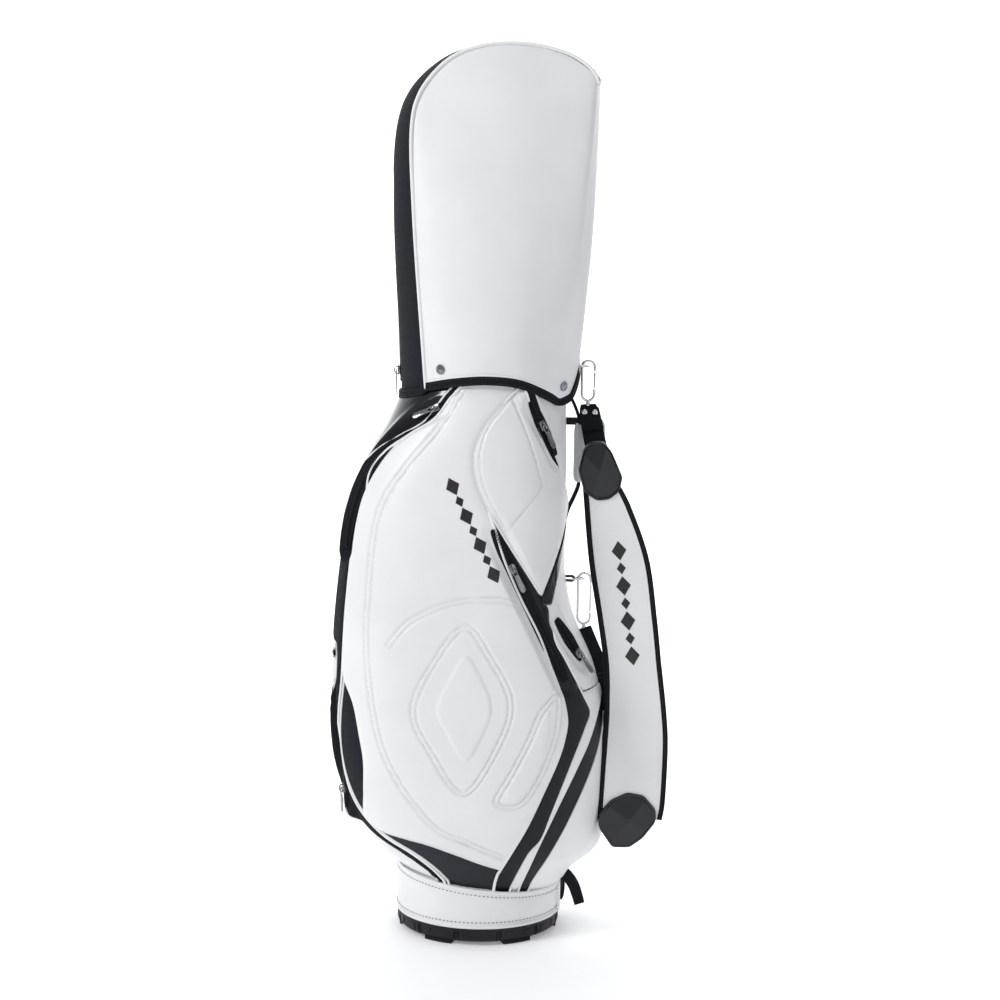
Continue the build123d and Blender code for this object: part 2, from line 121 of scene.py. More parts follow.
def leather(name, light, dark, rough, grain=1.0, **sockets):
    """Synthetic leather: pebbled grain, faint long creases and a slightly uneven sheen."""
    material, nodes, links, shader = new_material(name, light, rough, **sockets)
    place = coordinates(nodes)
    cells = texture(nodes, links, "ShaderNodeTexVoronoi", place, 950.0)
    cells.feature = "DISTANCE_TO_EDGE"
    fine = texture(nodes, links, "ShaderNodeTexNoise", place, 1500.0, Detail=3.0)
    folds = texture(nodes, links, "ShaderNodeTexNoise", place, 26.0, Detail=4.0, Distortion=0.6)
    tone = texture(nodes, links, "ShaderNodeTexNoise", place, 9.0, Detail=5.0)
    links.new(ramp(nodes, links, tone.outputs["Fac"], 0.3, 0.7, dark, light), shader.inputs["Base Color"])
    links.new(spread(nodes, links, folds.outputs["Fac"], rough - 0.07, rough + 0.09),
              shader.inputs["Roughness"])
    soft = bump(nodes, links, shader, folds.outputs["Fac"], 0.0009, 0.35)
    pebbles = bump(nodes, links, shader, cells.outputs["Distance"], 0.00016 * grain, 0.55, soft)
    bump(nodes, links, shader, fine.outputs["Fac"], 0.00007 * grain, 0.5, pebbles)
    return material


def weave(name, color, rough, across, along, depth=0.0004):
    """Woven tape or mesh, drawn in the piece's own UVs, which are in metres."""
    material, nodes, links, shader = new_material(name, color, rough, Specular_IOR_Level=0.14)
    place = coordinates(nodes, "UV")
    ribs = []
    for direction, scale in (("X", across), ("Y", along)):
        wave = nodes.new("ShaderNodeTexWave")
        wave.bands_direction = direction
        wave.inputs["Scale"].default_value = scale
        wave.inputs["Distortion"].default_value = 0.6
        wave.inputs["Detail"].default_value = 1.0
        links.new(place, wave.inputs["Vector"])
        ribs.append(wave.outputs["Fac"])
    both = nodes.new("ShaderNodeMath")
    both.operation = "MULTIPLY"
    links.new(ribs[0], both.inputs[0])
    links.new(ribs[1], both.inputs[1])
    bright = tuple(min(1.0, c * 2.4 + 0.004) for c in color)
    links.new(ramp(nodes, links, both.outputs[0], 0.1, 0.8, color, bright), shader.inputs["Base Color"])
    fuzz = texture(nodes, links, "ShaderNodeTexNoise", coordinates(nodes), 1800.0, Detail=2.0)
    woven = bump(nodes, links, shader, both.outputs[0], depth, 0.9)
    bump(nodes, links, shader, fuzz.outputs["Fac"], 0.0001, 0.4, woven)
    return material


def moulded(name, color, rough, grain_scale=700.0, **sockets):
    """Moulded plastic or rubber with a spark-eroded grain and scuffed highlights."""
    material, nodes, links, shader = new_material(name, color, rough, **sockets)
    place = coordinates(nodes)
    grain = texture(nodes, links, "ShaderNodeTexNoise", place, grain_scale, Detail=4.0)
    wear = texture(nodes, links, "ShaderNodeTexNoise", place, 22.0, Detail=6.0)
    worn = tuple(min(1.0, c + 0.012) for c in color)
    links.new(ramp(nodes, links, wear.outputs["Fac"], 0.45, 0.8, color, worn), shader.inputs["Base Color"])
    links.new(spread(nodes, links, wear.outputs["Fac"], rough - 0.1, rough + 0.12),
              shader.inputs["Roughness"])
    bump(nodes, links, shader, grain.outputs["Fac"], 0.00018, 0.5)
    return material


def metal(name, color, rough):
    """Plated metal with faint wipe marks."""
    material, nodes, links, shader = new_material(name, color, rough, metal=1.0)
    marks = texture(nodes, links, "ShaderNodeTexNoise", coordinates(nodes), 160.0, Detail=6.0)
    links.new(spread(nodes, links, marks.outputs["Fac"], rough * 0.6, rough * 1.6),
              shader.inputs["Roughness"])
    tint = tuple(c * 0.86 for c in color)
    links.new(ramp(nodes, links, marks.outputs["Fac"], 0.35, 0.7, tint, color), shader.inputs["Base Color"])
    bump(nodes, links, shader, marks.outputs["Fac"], 0.00004, 0.3)
    return material


WHITE = leather("white_leather", (0.86, 0.865, 0.875), (0.8, 0.805, 0.82), 0.44, Coat_Weight=0.06,
                Coat_Roughness=0.3)
BLACK = leather("black_leather", (0.013, 0.014, 0.018), (0.008, 0.009, 0.012), 0.44, Specular_IOR_Level=0.22)
PATENT = leather("black_patent", (0.009, 0.01, 0.013), (0.005, 0.006, 0.008), 0.2, 0.4, Coat_Weight=0.6,
                 Coat_Roughness=0.08, Specular_IOR_Level=0.2)
CAP_LEATHER = leather("black_cap_leather", (0.011, 0.012, 0.016), (0.007, 0.008, 0.011), 0.3, 0.5)
PIPING = leather("white_piping", (0.88, 0.885, 0.89), (0.82, 0.82, 0.83), 0.36, 0.5)
TAPE = weave("black_tape", (0.006, 0.007, 0.01), 0.72, 260.0, 260.0)
WEBBING = weave("black_webbing", (0.007, 0.008, 0.011), 0.66, 200.0, 330.0, 0.0007)
MESH = weave("black_mesh", (0.009, 0.011, 0.015), 0.7, 150.0, 150.0, 0.0009)
GREY_MESH = weave("grey_mesh", (0.026, 0.028, 0.034), 0.6, 110.0, 110.0, 0.0009)
LINING = leather("dark_lining", (0.05, 0.05, 0.055), (0.035, 0.035, 0.04), 0.8)
PLASTIC = moulded("moulded_black", (0.01, 0.01, 0.013), 0.48, Specular_IOR_Level=0.25)
RUBBER = moulded("rubber", (0.01, 0.01, 0.012), 0.75, 420.0, Specular_IOR_Level=0.2)
CHROME = metal("chrome", (0.8, 0.8, 0.82), 0.12)
GUNMETAL = metal("gunmetal", (0.3, 0.3, 0.32), 0.2)
THREAD = moulded("pale_thread", (0.6, 0.61, 0.63), 0.6, 2600.0)
DARK_THREAD = moulded("dark_thread", (0.03, 0.03, 0.033), 0.6, 2600.0)
GREY_THREAD = moulded("grey_thread", (0.09, 0.095, 0.11), 0.6, 2600.0)
GREY_LEATHER = leather("grey_leather", (0.76, 0.77, 0.785), (0.68, 0.69, 0.71), 0.46)
INK = moulded("black_print", (0.012, 0.012, 0.013), 0.4, 1500.0)
SLOT_MATERIALS = {"white_leather": WHITE, "black_leather": BLACK, "black_webbing": WEBBING,
                  "black_mesh": MESH,
                  "lining": LINING, "moulded_black": PLASTIC, "tube_liner": PLASTIC, "rubber": RUBBER,
                  "chrome": CHROME, "gunmetal": GUNMETAL, "rods": CHROME}


# ============================================================ mesh making
class Shape:
    """Collects closed pieces of mesh and turns them into one object."""

    def __init__(self):
        self.verts = []
        self.faces = []
        self.uvs = []
        self.count = 0

    def add(self, verts, faces, uv=None):
        verts = np.asarray(verts, float).reshape(-1, 3)
        self.verts.append(verts)
        self.faces += [tuple(int(i) + self.count for i in face) for face in faces]
        self.uvs.append(np.zeros((len(verts), 2)) if uv is None else np.asarray(uv, float).reshape(-1, 2))
        self.count += len(verts)
        return self

    def make(self, name, material, body, slot=None, replaces=(), sharp=None, mirror=False):
        verts = np.concatenate(self.verts)
        faces = self.faces
        if mirror:
            verts = verts * (1, -1, 1)
            faces = [face[::-1] for face in faces]
        mesh = bpy.data.meshes.new(name)
        mesh.from_pydata((verts * MM).tolist(), [], faces)
        mesh.validate()
        uv = np.concatenate(self.uvs) * MM
        layer = mesh.uv_layers.new(name="UVMap")
        loops = np.zeros(len(mesh.loops), int)
        mesh.loops.foreach_get("vertex_index", loops)
        layer.data.foreach_set("uv", uv[loops].ravel())
        mesh.polygons.foreach_set("use_smooth", [True] * len(mesh.polygons))
        if sharp is not None:
            mesh.set_sharp_from_angle(angle=math.radians(sharp))
        mesh.materials.append(material)
        piece = bpy.data.objects.new(name, mesh)
        bpy.context.scene.collection.objects.link(piece)
        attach(piece, body)
        if replaces:
            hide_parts(*replaces)
        return piece


def unit(vectors):
    vectors = np.asarray(vectors, float)
    return vectors / np.maximum(np.linalg.norm(vectors, axis=-1, keepdims=True), 1e-9)


def grid_faces(rows, cols, start=0, closed=False):
    """Quads of a rows x cols grid of vertices; closed joins the last column to the first."""
    across = cols if closed else cols - 1
    i, j = np.meshgrid(np.arange(rows - 1), np.arange(across), indexing="ij")
    k = (j + 1) % cols
    quads = np.stack([i * cols + j, i * cols + k, (i + 1) * cols + k, (i + 1) * cols + j], -1)
    return (quads.reshape(-1, 4) + start).tolist()


def tube_faces(rows, sides, closed=False):
    """Faces of rings of points: joined end to end when closed, capped when not."""
    faces = grid_faces(rows, sides, closed=True)
    last = (rows - 1) * sides
    if closed:
        return faces + [(last + j, last + (j + 1) % sides, (j + 1) % sides, j) for j in range(sides)]
    return faces + [tuple(range(sides))[::-1], tuple(last + j for j in range(sides))]


def add_sheet(shape, outer, normals, thickness, uv=None):
    """Closed sheet: an outer grid, an inner grid thickness below it, and a rim."""
    rows, cols = outer.shape[:2]
    inner = outer - normals * thickness
    size = rows * cols
    faces = grid_faces(rows, cols)
    faces += [face[::-1] for face in grid_faces(rows, cols, size)]
    border = [(0, j) for j in range(cols)] + [(i, cols - 1) for i in range(1, rows)]
    border += [(rows - 1, j) for j in range(cols - 2, -1, -1)] + [(i, 0) for i in range(rows - 2, 0, -1)]
    ids = [i * cols + j for i, j in border]
    for a, b in zip(ids, ids[1:] + ids[:1]):
        faces.append((b, a, a + size, b + size))
    i, j = rows // 2, cols // 2
    facing = np.cross(outer[i, j] - outer[i, j - 1], outer[i, j] - outer[i - 1, j]) @ normals[i, j]
    if facing < 0:
        faces = [face[::-1] for face in faces]
    coords = None if uv is None else np.concatenate([uv.reshape(-1, 2), uv.reshape(-1, 2)])
    shape.add(np.concatenate([outer.reshape(-1, 3), inner.reshape(-1, 3)]), faces, coords)


def run_lengths(points, axis=0):
    """Distance run from the first point to each of the others along one axis of a grid."""
    first = np.take(points, [0], axis=axis)
    return np.cumsum(np.linalg.norm(np.diff(points, axis=axis, prepend=first), axis=-1), axis)


def grid_uv(points):
    """UV of a grid of points: millimetres run across and along it."""
    return np.stack([run_lengths(points, 1), run_lengths(points, 0)], -1)


def resample(points, step, closed=False):
    """Evenly spaced points along a polyline."""
    points = np.asarray(points, float)
    if closed:
        points = np.vstack([points, points[:1]])
    lengths = run_lengths(points)
    count = max(2, int(round(lengths[-1] / step)) + 1)
    at = np.linspace(0, lengths[-1], count)
    even = np.stack([np.interp(at, lengths, points[:, k]) for k in range(points.shape[1])], 1)
    return even[:-1] if closed else even


def smooth_line(points, per_span=14, closed=False):
    """Catmull-Rom curve through the points."""
    points = np.asarray(points, float)
    if closed:
        padded = np.vstack([points[-1:], points, points[:2]])
    else:
        padded = np.vstack([2 * points[0] - points[1], points, 2 * points[-1] - points[-2]])
    result = []
    for a, b, c, d in zip(padded, padded[1:], padded[2:], padded[3:]):
        for t in np.linspace(0, 1, per_span, endpoint=False):
            result.append(0.5 * (2 * b + (c - a) * t + (2 * a - 5 * b + 4 * c - d) * t**2
                                 + (3 * b - a - 3 * c + d) * t**3))
    if not closed:
        result.append(points[-1])
    return np.array(result)


def tangents(points, closed=False):
    if closed:
        return unit(np.roll(points, -1, 0) - np.roll(points, 1, 0))
    return unit(np.gradient(points, axis=0))


def add_tube(shape, points, radius, sides=10, closed=False, normals=None, squash=1.0):
    """Round rod along points. radius may be a list; squash flattens it along the normals."""
    points = np.asarray(points, float)
    along = tangents(points, closed)
    if normals is None:
        normals = [np.cross(along[0], (0.3, 0.5, 0.8))]
        for t in along[1:]:
            normals.append(normals[-1] - t * (normals[-1] @ t))
    normals = np.asarray(normals, float)
    normals = unit(normals - along * np.sum(normals * along, -1, keepdims=True))
    sideways = np.cross(along, normals)
    radii = np.broadcast_to(np.asarray(radius, float), (len(points),))[:, None, None]
    angle = np.linspace(0, 2 * math.pi, sides, endpoint=False)[None, :, None]
    rings = points[:, None] + radii * (np.cos(angle) * sideways[:, None]
                                       + squash * np.sin(angle) * normals[:, None])
    uv = np.stack(np.broadcast_arrays(angle[..., 0] * radii[..., 0], run_lengths(points)[:, None]), -1)
    faces = [face[::-1] for face in tube_faces(len(points), sides, closed)]
    shape.add(rings.reshape(-1, 3), faces, uv.reshape(-1, 2))


def add_strap(shape, points, normals, width, thickness, edge=0.5, closed=False):
    """Flat webbing along points with rounded edges; width may be a list."""
    points = np.asarray(points, float)
    along = tangents(points, closed)
    normals = np.broadcast_to(np.asarray(normals, float), points.shape)
    normals = unit(normals - along * np.sum(normals * along, -1, keepdims=True))
    sideways = np.cross(normals, along)
    half = np.broadcast_to(np.asarray(width, float) / 2, (len(points),))
    across = np.array([-1, -0.97, -0.8, -0.4, 0, 0.4, 0.8, 0.97, 1])
    rise = np.array([0, edge, 1, 1, 1, 1, 1, edge, 0]) * thickness / 2
    loop = np.concatenate([np.stack([across, rise], 1), np.stack([across[-2:0:-1], -rise[-2:0:-1]], 1)])
    rings = (points[:, None] + half[:, None, None] * loop[None, :, :1] * sideways[:, None]
             + loop[None, :, 1:] * normals[:, None])
    faces = [face[::-1] for face in tube_faces(len(points), len(loop), closed)]
    uv = np.stack(np.broadcast_arrays(loop[None, :, 0] * half[:, None], run_lengths(points)[:, None]), -1)
    shape.add(rings.reshape(-1, 3), faces, uv.reshape(-1, 2))


def add_stitches(shape, points, normals, length=3.0, gap=1.5, radius=0.38, lift=0.1):
    """Row of short thread stitches that dip into the material at both ends."""
    points = np.asarray(points, float)
    normals = np.broadcast_to(np.asarray(normals, float), points.shape)
    lengths = run_lengths(points)
    arc = np.array([-0.5, -0.25, 0.0, 0.25, 0.5])
    dip = np.array([-0.5, 0.1, 0.3, 0.1, -0.5]) * radius
    angle = np.linspace(0, 2 * math.pi, 6, endpoint=False)
    for centre in np.arange(length, lengths[-1] - length, length + gap):
        at = centre + arc * length
        line = np.stack([np.interp(at, lengths, points[:, k]) for k in range(3)], 1)
        up = unit(np.array([np.interp(centre, lengths, normals[:, k]) for k in range(3)]))
        line = line + up * (dip + lift)[:, None]
        along = unit(line[-1] - line[0])
        side = np.cross(up, along)
        ring = radius * (np.cos(angle)[:, None] * side + np.sin(angle)[:, None] * up)
        verts = (line[:, None] + ring[None] * np.array([0.5, 1, 1, 1, 0.5])[:, None, None]).reshape(-1, 3)
        shape.add(verts, tube_faces(5, 6))


def add_block(shape, frame_matrix, centre, size, radius, segments=2):
    """Box with rounded edges, in the frame given by a 3x4 (axes and origin)."""
    work = bmesh.new()
    bmesh.ops.create_cube(work, size=1.0)
    bmesh.ops.scale(work, vec=size, verts=work.verts)
    if radius > 0:
        bmesh.ops.bevel(work, geom=work.edges[:], offset=radius, segments=segments, profile=0.5,
                        affect="EDGES")
    bmesh.ops.translate(work, vec=centre, verts=work.verts)
    add_bmesh(shape, work, frame_matrix)


def add_bmesh(shape, work, frame_matrix):
    """Adds a bmesh, moved from local millimetres into the frame."""
    work.verts.ensure_lookup_table()
    local = np.array([v.co for v in work.verts])
    axes, origin = frame_matrix
    uv = local[:, :2]
    shape.add(local @ np.asarray(axes) + np.asarray(origin), [[v.index for v in f.verts] for f in work.faces],
              uv)
    work.free()


WORLD = (np.eye(3), np.zeros(3))


def distance_to(points, line, chunk=4000):
    """Distance from each point to the nearest of a dense line's points."""
    flat = points.reshape(-1, 3)
    result = np.empty(len(flat))
    square = np.sum(line**2, 1)
    for start in range(0, len(flat), chunk):
        part = flat[start:start + chunk]
        gap = np.sum(part**2, 1)[:, None] + square - 2 * part @ line.T
        result[start:start + chunk] = np.sqrt(np.maximum(gap.min(1), 0))
    return result.reshape(points.shape[:-1])


# ============================================================ the bag's body surface
# Height, front reach, spine reach, side reach and squareness, as in the CAD model
BODY_ROWS = (
    (50, 114, 114, 114, 0.552), (95, 116, 140, 118, 0.56), (122, 143, 172, 129, 0.60),
    (170, 178, 182, 147, 0.66), (240, 206, 183, 160, 0.72), (320, 216, 181, 166, 0.74),
    (400, 215, 163, 167, 0.74), (460, 212, 134, 163, 0.74), (520, 206, 120, 158, 0.74),
    (590, 196, 118, 151, 0.74), (650, 182, 118, 144, 0.73), (700, 161, 118, 136, 0.70),
    (745, 135, 117, 127, 0.64), (790, 117.6, 116, 117.6, 0.57), (830, 116.8, 116, 116.8, 0.552),
)


def cubic_table(rows):
    """Smooth function of the first column through a table's rows."""
    table = np.array(rows, float)
    x, y = table[:, 0], table[:, 1:]
    slope = np.gradient(y, x, axis=0)

    def value(at):
        at = np.clip(np.asarray(at, float), x[0], x[-1])
        i = np.clip(np.searchsorted(x, at, side="right") - 1, 0, len(x) - 2)
        h = (x[i + 1] - x[i])[..., None]
        t = (at - x[i])[..., None] / h
        return ((2 * t**3 - 3 * t**2 + 1) * y[i] + (t**3 - 2 * t**2 + t) * h * slope[i]
                + (3 * t**2 - 2 * t**3) * y[i + 1] + (t**3 - t**2) * h * slope[i + 1])

    return value


BODY_TABLE = cubic_table(BODY_ROWS)


def quarter(t, square):
    """Bezier quarter from (1, 0) to (0, 1)."""
    away = (1 - t)
    x = away**3 + 3 * t * away**2 + 3 * square * t**2 * away
    y = t**3 + 3 * t**2 * away + 3 * square * t * away**2
    return x, y


def body_point(u, z):
    """Point of the body: u goes 0 spine, 1 near side, 2 front, 3 far side, 4 spine."""
    u, z = np.broadcast_arrays(np.asarray(u, float), np.asarray(z, float))
    u = np.mod(u, 4)
    front, spine, side, square = np.moveaxis(BODY_TABLE(z), -1, 0)
    on_spine = (u <= 1) | (u >= 3)
    t = np.where(u <= 1, u, np.where(u <= 2, 2 - u, np.where(u <= 3, u - 2, 4 - u)))
    qx, qy = quarter(t, square)
    x = np.where(on_spine, spine * qx, -front * qx)
    y = np.where(u <= 2, -side * qy, side * qy)
    return np.stack([x, y, z], -1)


def body_normal(u, z):
    du = body_point(u + 0.004, z) - body_point(u - 0.004, z)
    dz = body_point(u, np.asarray(z) + 0.6) - body_point(u, np.asarray(z) - 0.6)
    return unit(np.cross(dz, du))


def near_u(x, z):
    """u of the near side's point that has this x."""
    x, z = np.broadcast_arrays(np.asarray(x, float), np.asarray(z, float))
    front, spine, side, square = np.moveaxis(BODY_TABLE(z), -1, 0)
    share = np.clip(np.abs(x) / np.where(x >= 0, spine, front), 0, 1)
    low, high = np.zeros_like(share), np.ones_like(share)
    for _ in range(28):
        middle = (low + high) / 2
        bigger = quarter(middle, square)[0] > share
        low = np.where(bigger, middle, low)
        high = np.where(bigger, high, middle)
    return np.where(x >= 0, low, 2 - low)


def edge(points):
    """Seam through (x, z) points, from the top down, as u for a height."""
    line = smooth_line(points)
    u = near_u(line[:, 0], line[:, 1])
    order = np.argsort(line[:, 1], kind="stable")
    return lambda z: np.interp(z, line[order, 1], u[order])


def shifted(seam, *distances):
    """The seam moved round the body towards the front: by one distance, or by (height, distance) pairs."""
    def moved(z):
        u = seam(z)
        stretch = np.linalg.norm(body_point(u + 0.01, z) - body_point(u - 0.01, z), axis=-1) / 0.02
        if len(distances) == 1:
            return u + distances[0] / stretch
        return u + np.interp(z, *zip(*distances)) / stretch
    return moved


def seam_points(seam, top, bottom, lift=0.0, step=3.0):
    """Points and normals down a seam, evenly spaced."""
    z = np.linspace(top, bottom, 400)
    even = resample(body_point(seam(z), z), step)
    u = seam(even[:, 2])
    normals = body_normal(u, even[:, 2])
    return even + normals * lift, normals


def on_body(points, closed=False, step=2.5):
    """Smooth near-side line through (x, z) points: its 3-D points and normals."""
    flat = resample(smooth_line(points, closed=closed), step, closed)
    u = near_u(flat[:, 0], flat[:, 1])
    return body_point(u, flat[:, 1]), body_normal(u, flat[:, 1])


def inside(points_xz, polygon):
    """Which (x, z) points lie inside a closed polygon."""
    x, z = points_xz[..., 0], points_xz[..., 1]
    result = np.zeros(x.shape, bool)
    for (x0, z0), (x1, z1) in zip(polygon, np.roll(polygon, -1, 0)):
        if z0 == z1:
            continue
        crosses = (z0 > z) != (z1 > z)
        result ^= crosses & (x < (x1 - x0) * (z - z0) / (z1 - z0) + x0)
    return result


class Panel:
    """Padded panel between two seams, tucked into the base cuff, that seats the zips laid on it."""

    def __init__(self, front_seam, rear_seam, top, bottom, zips=(), puff=5.0, lift=0.4, roll=16.0, crown=0.0):
        self.front_seam = front_seam
        self.rear_seam = rear_seam
        self.top = top
        self.bottom = bottom
        self.zips = zips
        self.puff = puff
        self.lift = lift
        self.roll = roll
        self.crown = crown
        self.grooves = []
        self.raised = []
        z = np.linspace(top, bottom, 260)
        borders = [body_point(front_seam(z), z), body_point(rear_seam(z), z)]
        for height in (top, bottom):
            u = np.linspace(front_seam(height), rear_seam(height), 60)
            borders.append(body_point(u, np.full(60, float(height))))
        self.border = np.concatenate([resample(line, 2.5) for line in borders])

    def groove(self, points, depth=1.6, width=2.4, closed=False):
        self.grooves.append((on_body(points, closed)[0], depth, width))

    def raise_area(self, points, height, roll=6.0):
        outline = smooth_line(points, closed=True)
        self.raised.append((outline, on_body(points, True)[0], height, roll))

    def relief(self, points):
        """Height of the padded surface above the body at points of the body."""
        gap = distance_to(points, self.border)
        share = np.clip(gap / self.roll, 0, 1)
        height = self.lift + self.puff * np.sqrt(np.maximum(1 - (1 - share)**2, 0))
        height = height + self.crown * (1 - np.exp(-gap / CROWN_REACH))
        for line, depth, width in self.grooves:
            height = height - depth * np.exp(-(distance_to(points, line) / width)**2)
        for outline, line, rise, roll in self.raised:
            within = inside(points[..., [0, 2]], outline)
            rounding = np.clip(distance_to(points, line) / roll, 0, 1)
            height = height + within * rise * np.sqrt(np.maximum(1 - (1 - rounding)**2, 0))
        above_cuff = points[..., 2] - CUFF_LEVEL - CUFF_SLOPE * points[..., 0]
        free = np.clip((above_cuff + 1.0) / CUFF_FADE, 0, 1)
        free = free * free * (3 - 2 * free)
        under_hem = np.clip((points[..., 2] - HEM_LOW) / HEM_FADE, 0, 1)
        return height * (1 - 0.85 * under_hem) * free - CUFF_TUCK * (1 - free)

    def surface(self, points, normals):
        return seat_zips(points + normals * self.relief(points)[..., None], self.zips)

    def sheet(self, step=2.4, thickness=2.4):
        rows = int((self.top - self.bottom) / step) + 2
        z = np.linspace(self.top, self.bottom, rows)
        front, rear = self.front_seam(z), self.rear_seam(z)
        width = np.linalg.norm(body_point(front, z) - body_point(rear, z), axis=-1).max()
        cols = max(6, int(width * 1.15 / step))
        u = front[:, None] + (rear - front)[:, None] * np.linspace(0, 1, cols)
        z = np.repeat(z[:, None], cols, 1)
        points, normals = body_point(u, z), body_normal(u, z)
        shape = Shape()
        add_sheet(shape, self.surface(points, normals), normals, thickness, grid_uv(points))
        return shape

    def stitch(self, shape, points, closed=False, **options):
        line, normals = on_body(points, closed, 1.5)
        if closed:
            line, normals = np.vstack([line, line[:1]]), np.vstack([normals, normals[:1]])
        add_stitches(shape, self.surface(line, normals), normals, **options)


# ============================================================ seams of the near side
# Every seam is a list of (x, z) from the top down, in millimetres
BODY_TOP = 815.0
BODY_LOW = 62.0
BAND_SPLIT = 372
CUFF_LEVEL = 82.0
CUFF_SLOPE = -0.11
CUFF_FADE = 12.0
CUFF_TUCK = 3.0
HEM_LOW = 776.0
HEM_FADE = 22.0
CROWN_REACH = 60.0
BAND_WIDTH = 12.5

FRONT_SEAM = edge([(-31, 802), (-71, 754), (-108, 730), (-141, 704), (-163, 670), (-173, 620), (-183, 559),
                   (-190, 486), (-193, 432), (-195, 384), (-199, 340), (-200, 300), (-196, 262), (-186, 224),
                   (-168, 189), (-137, 158), (-97, 136), (-68, 115), (-48, 94)])
BAND_FRONT = shifted(FRONT_SEAM, (110, BAND_WIDTH), (150, 26), (200, 40), (260, 47), (600, 47), (650, 36),
                     (700, 19), (735, BAND_WIDTH))
MAIN_FRONT = edge([(-31, 802), (-71, 754), (-108, 730), (-141, 704), (-163, 670), (-173, 620), (-183, 559),
                   (-190, 486), (-193, 432), (-192, 388), (-177, 351), (-168, 307), (-162, 270), (-162, 223),
                   (-161, 182), (-138, 165), (-103, 159), (-71, 153), (-29, 139), (6, 125), (36, 115)])
MAIN_REAR = edge([(49, 802), (24, 775), (1, 746), (-12, 717), (-14, 691), (-8, 662), (4, 635), (17, 601),
                  (29, 565), (41, 537), (56, 504), (80, 456), (98, 411), (111, 376), (119, 340), (117, 315),
                  (108, 282), (89, 236), (68, 187), (48, 148), (27, 108)])
REAR_BAND_REAR = edge([(4, 636), (12, 618), (27, 594), (46, 560), (71, 522), (93, 491), (101, 449),
                       (117, 419),
                       (145, 364), (154, 341), (146, 318), (127, 269), (103, 204), (88, 162), (70, 138),
                       (46, 84)])
LENS_FRONT = edge([(49, 802), (24, 775), (1, 746), (-12, 717), (-14, 691), (-8, 662), (7, 631), (26, 598),
                   (51, 560), (80, 512)])
LENS_REAR = edge([(50, 802), (67, 759), (92, 706), (107, 675), (115, 651), (117, 627), (111, 593), (97, 551),
                  (80, 509)])
SPINE_FRONT_HIGH = edge([(61, 802), (84, 746), (102, 693), (109, 668), (115, 651), (117, 627), (113, 598),
                         (109, 560), (101, 522), (93, 491), (101, 449), (117, 419), (145, 372)])
SECOND_BAND_FRONT = edge([(172, 372), (171, 357), (154, 305), (135, 264), (112, 215), (86, 155), (63, 94)])
SECOND_BAND_REAR = edge([(178, 372), (176, 340), (172, 303), (159, 261), (135, 205), (110, 152), (78, 92)])
WEDGE_FRONT = edge([(117, 606), (111, 580), (97, 541), (82, 508)])
WEDGE_REAR = edge([(118, 606), (115, 580), (106, 541), (95, 494)])


def mirrored(seam):
    """The same seam on the far side."""
    return lambda z: 4 - seam(z)


def blended(upper, lower, split, fade=1.0):
    """One seam above a height and another below it."""
    def seam(z):
        share = np.clip((np.asarray(z, float) - split) / fade + 0.5, 0, 1)
        return upper(z) * share + lower(z) * (1 - share)
    return seam


# ============================================================ zips, read from the frame's joints
JOINTS = {joint["name"]: joint for joint in frame["record"]["behaviour"]["joints"]}
PIVOT_HEIGHT = 6.8
TAPE_HALF = 9.5
CHAIN_TOP = 2.5
ZIP_REACH = {"near_rear": 62, "near_valuables": 40, "spine": 12, "ball": 30, "hood": 16}


class Track:
    """Where one zip runs, in millimetres: the slider's place at rest and its along and outward directions."""

    def __init__(self, name):
        run, flip = JOINTS[f"{name}_zip_run"], JOINTS[f"{name}_pull_flip"]
        hinge_axis = unit(flip["axis"])
        pivot = np.array(flip["pos_m"]) / MM
        self.name = name
        self.turns = run["type"] == "hinge"
        if self.turns:
            self.axis = unit(run["axis"])
            self.centre = np.array(run["pos_m"]) / MM
            along = unit(np.cross(self.axis, pivot - self.centre))
            self.low, self.high = (math.radians(d) for d in run["range_deg"])
        else:
            along = unit(run["axis"])
            self.low, self.high = (d / MM for d in run["range_m"])
        out = unit(np.cross(hinge_axis, along))
        radial = pivot * (1, 1, 0)
        self.sign = 1 if out @ radial > 0 else -1
        self.out = out * self.sign
        self.along = along
        self.rest = pivot - self.out * PIVOT_HEIGHT

    def line(self, step=2.0):
        """Points along the zip's whole tape and the direction there."""
        if self.turns:
            turn = np.linspace(math.radians(-3), self.high + math.radians(6), 120)[:, None]
            arm = self.rest - self.centre
            lift = self.axis * (arm @ self.axis)
            flat = arm - lift
            ring = flat * np.cos(turn) + np.cross(self.axis, flat) * np.sin(turn)
            points = resample(self.centre + lift + ring, step)
        else:
            ends = (-ZIP_REACH[self.name], self.high + 18)
            points = resample(self.rest + self.along * np.array(ends)[:, None], step)
        return points, np.broadcast_to(self.out, points.shape)

    def frame_axes(self):
        """Axes and origin of the slider's own frame: x along, y across, z outwards."""
        return np.array([self.along, np.cross(self.out, self.along), self.out]), self.rest


ZIPS = {name: Track(name) for name in ("near_front", "near_rear", "near_valuables", "spine", "ball", "hood")}
SEAT_DEPTH = 0.9
SEAT_FLAT = 10.5
SEAT_FADE = 24.0


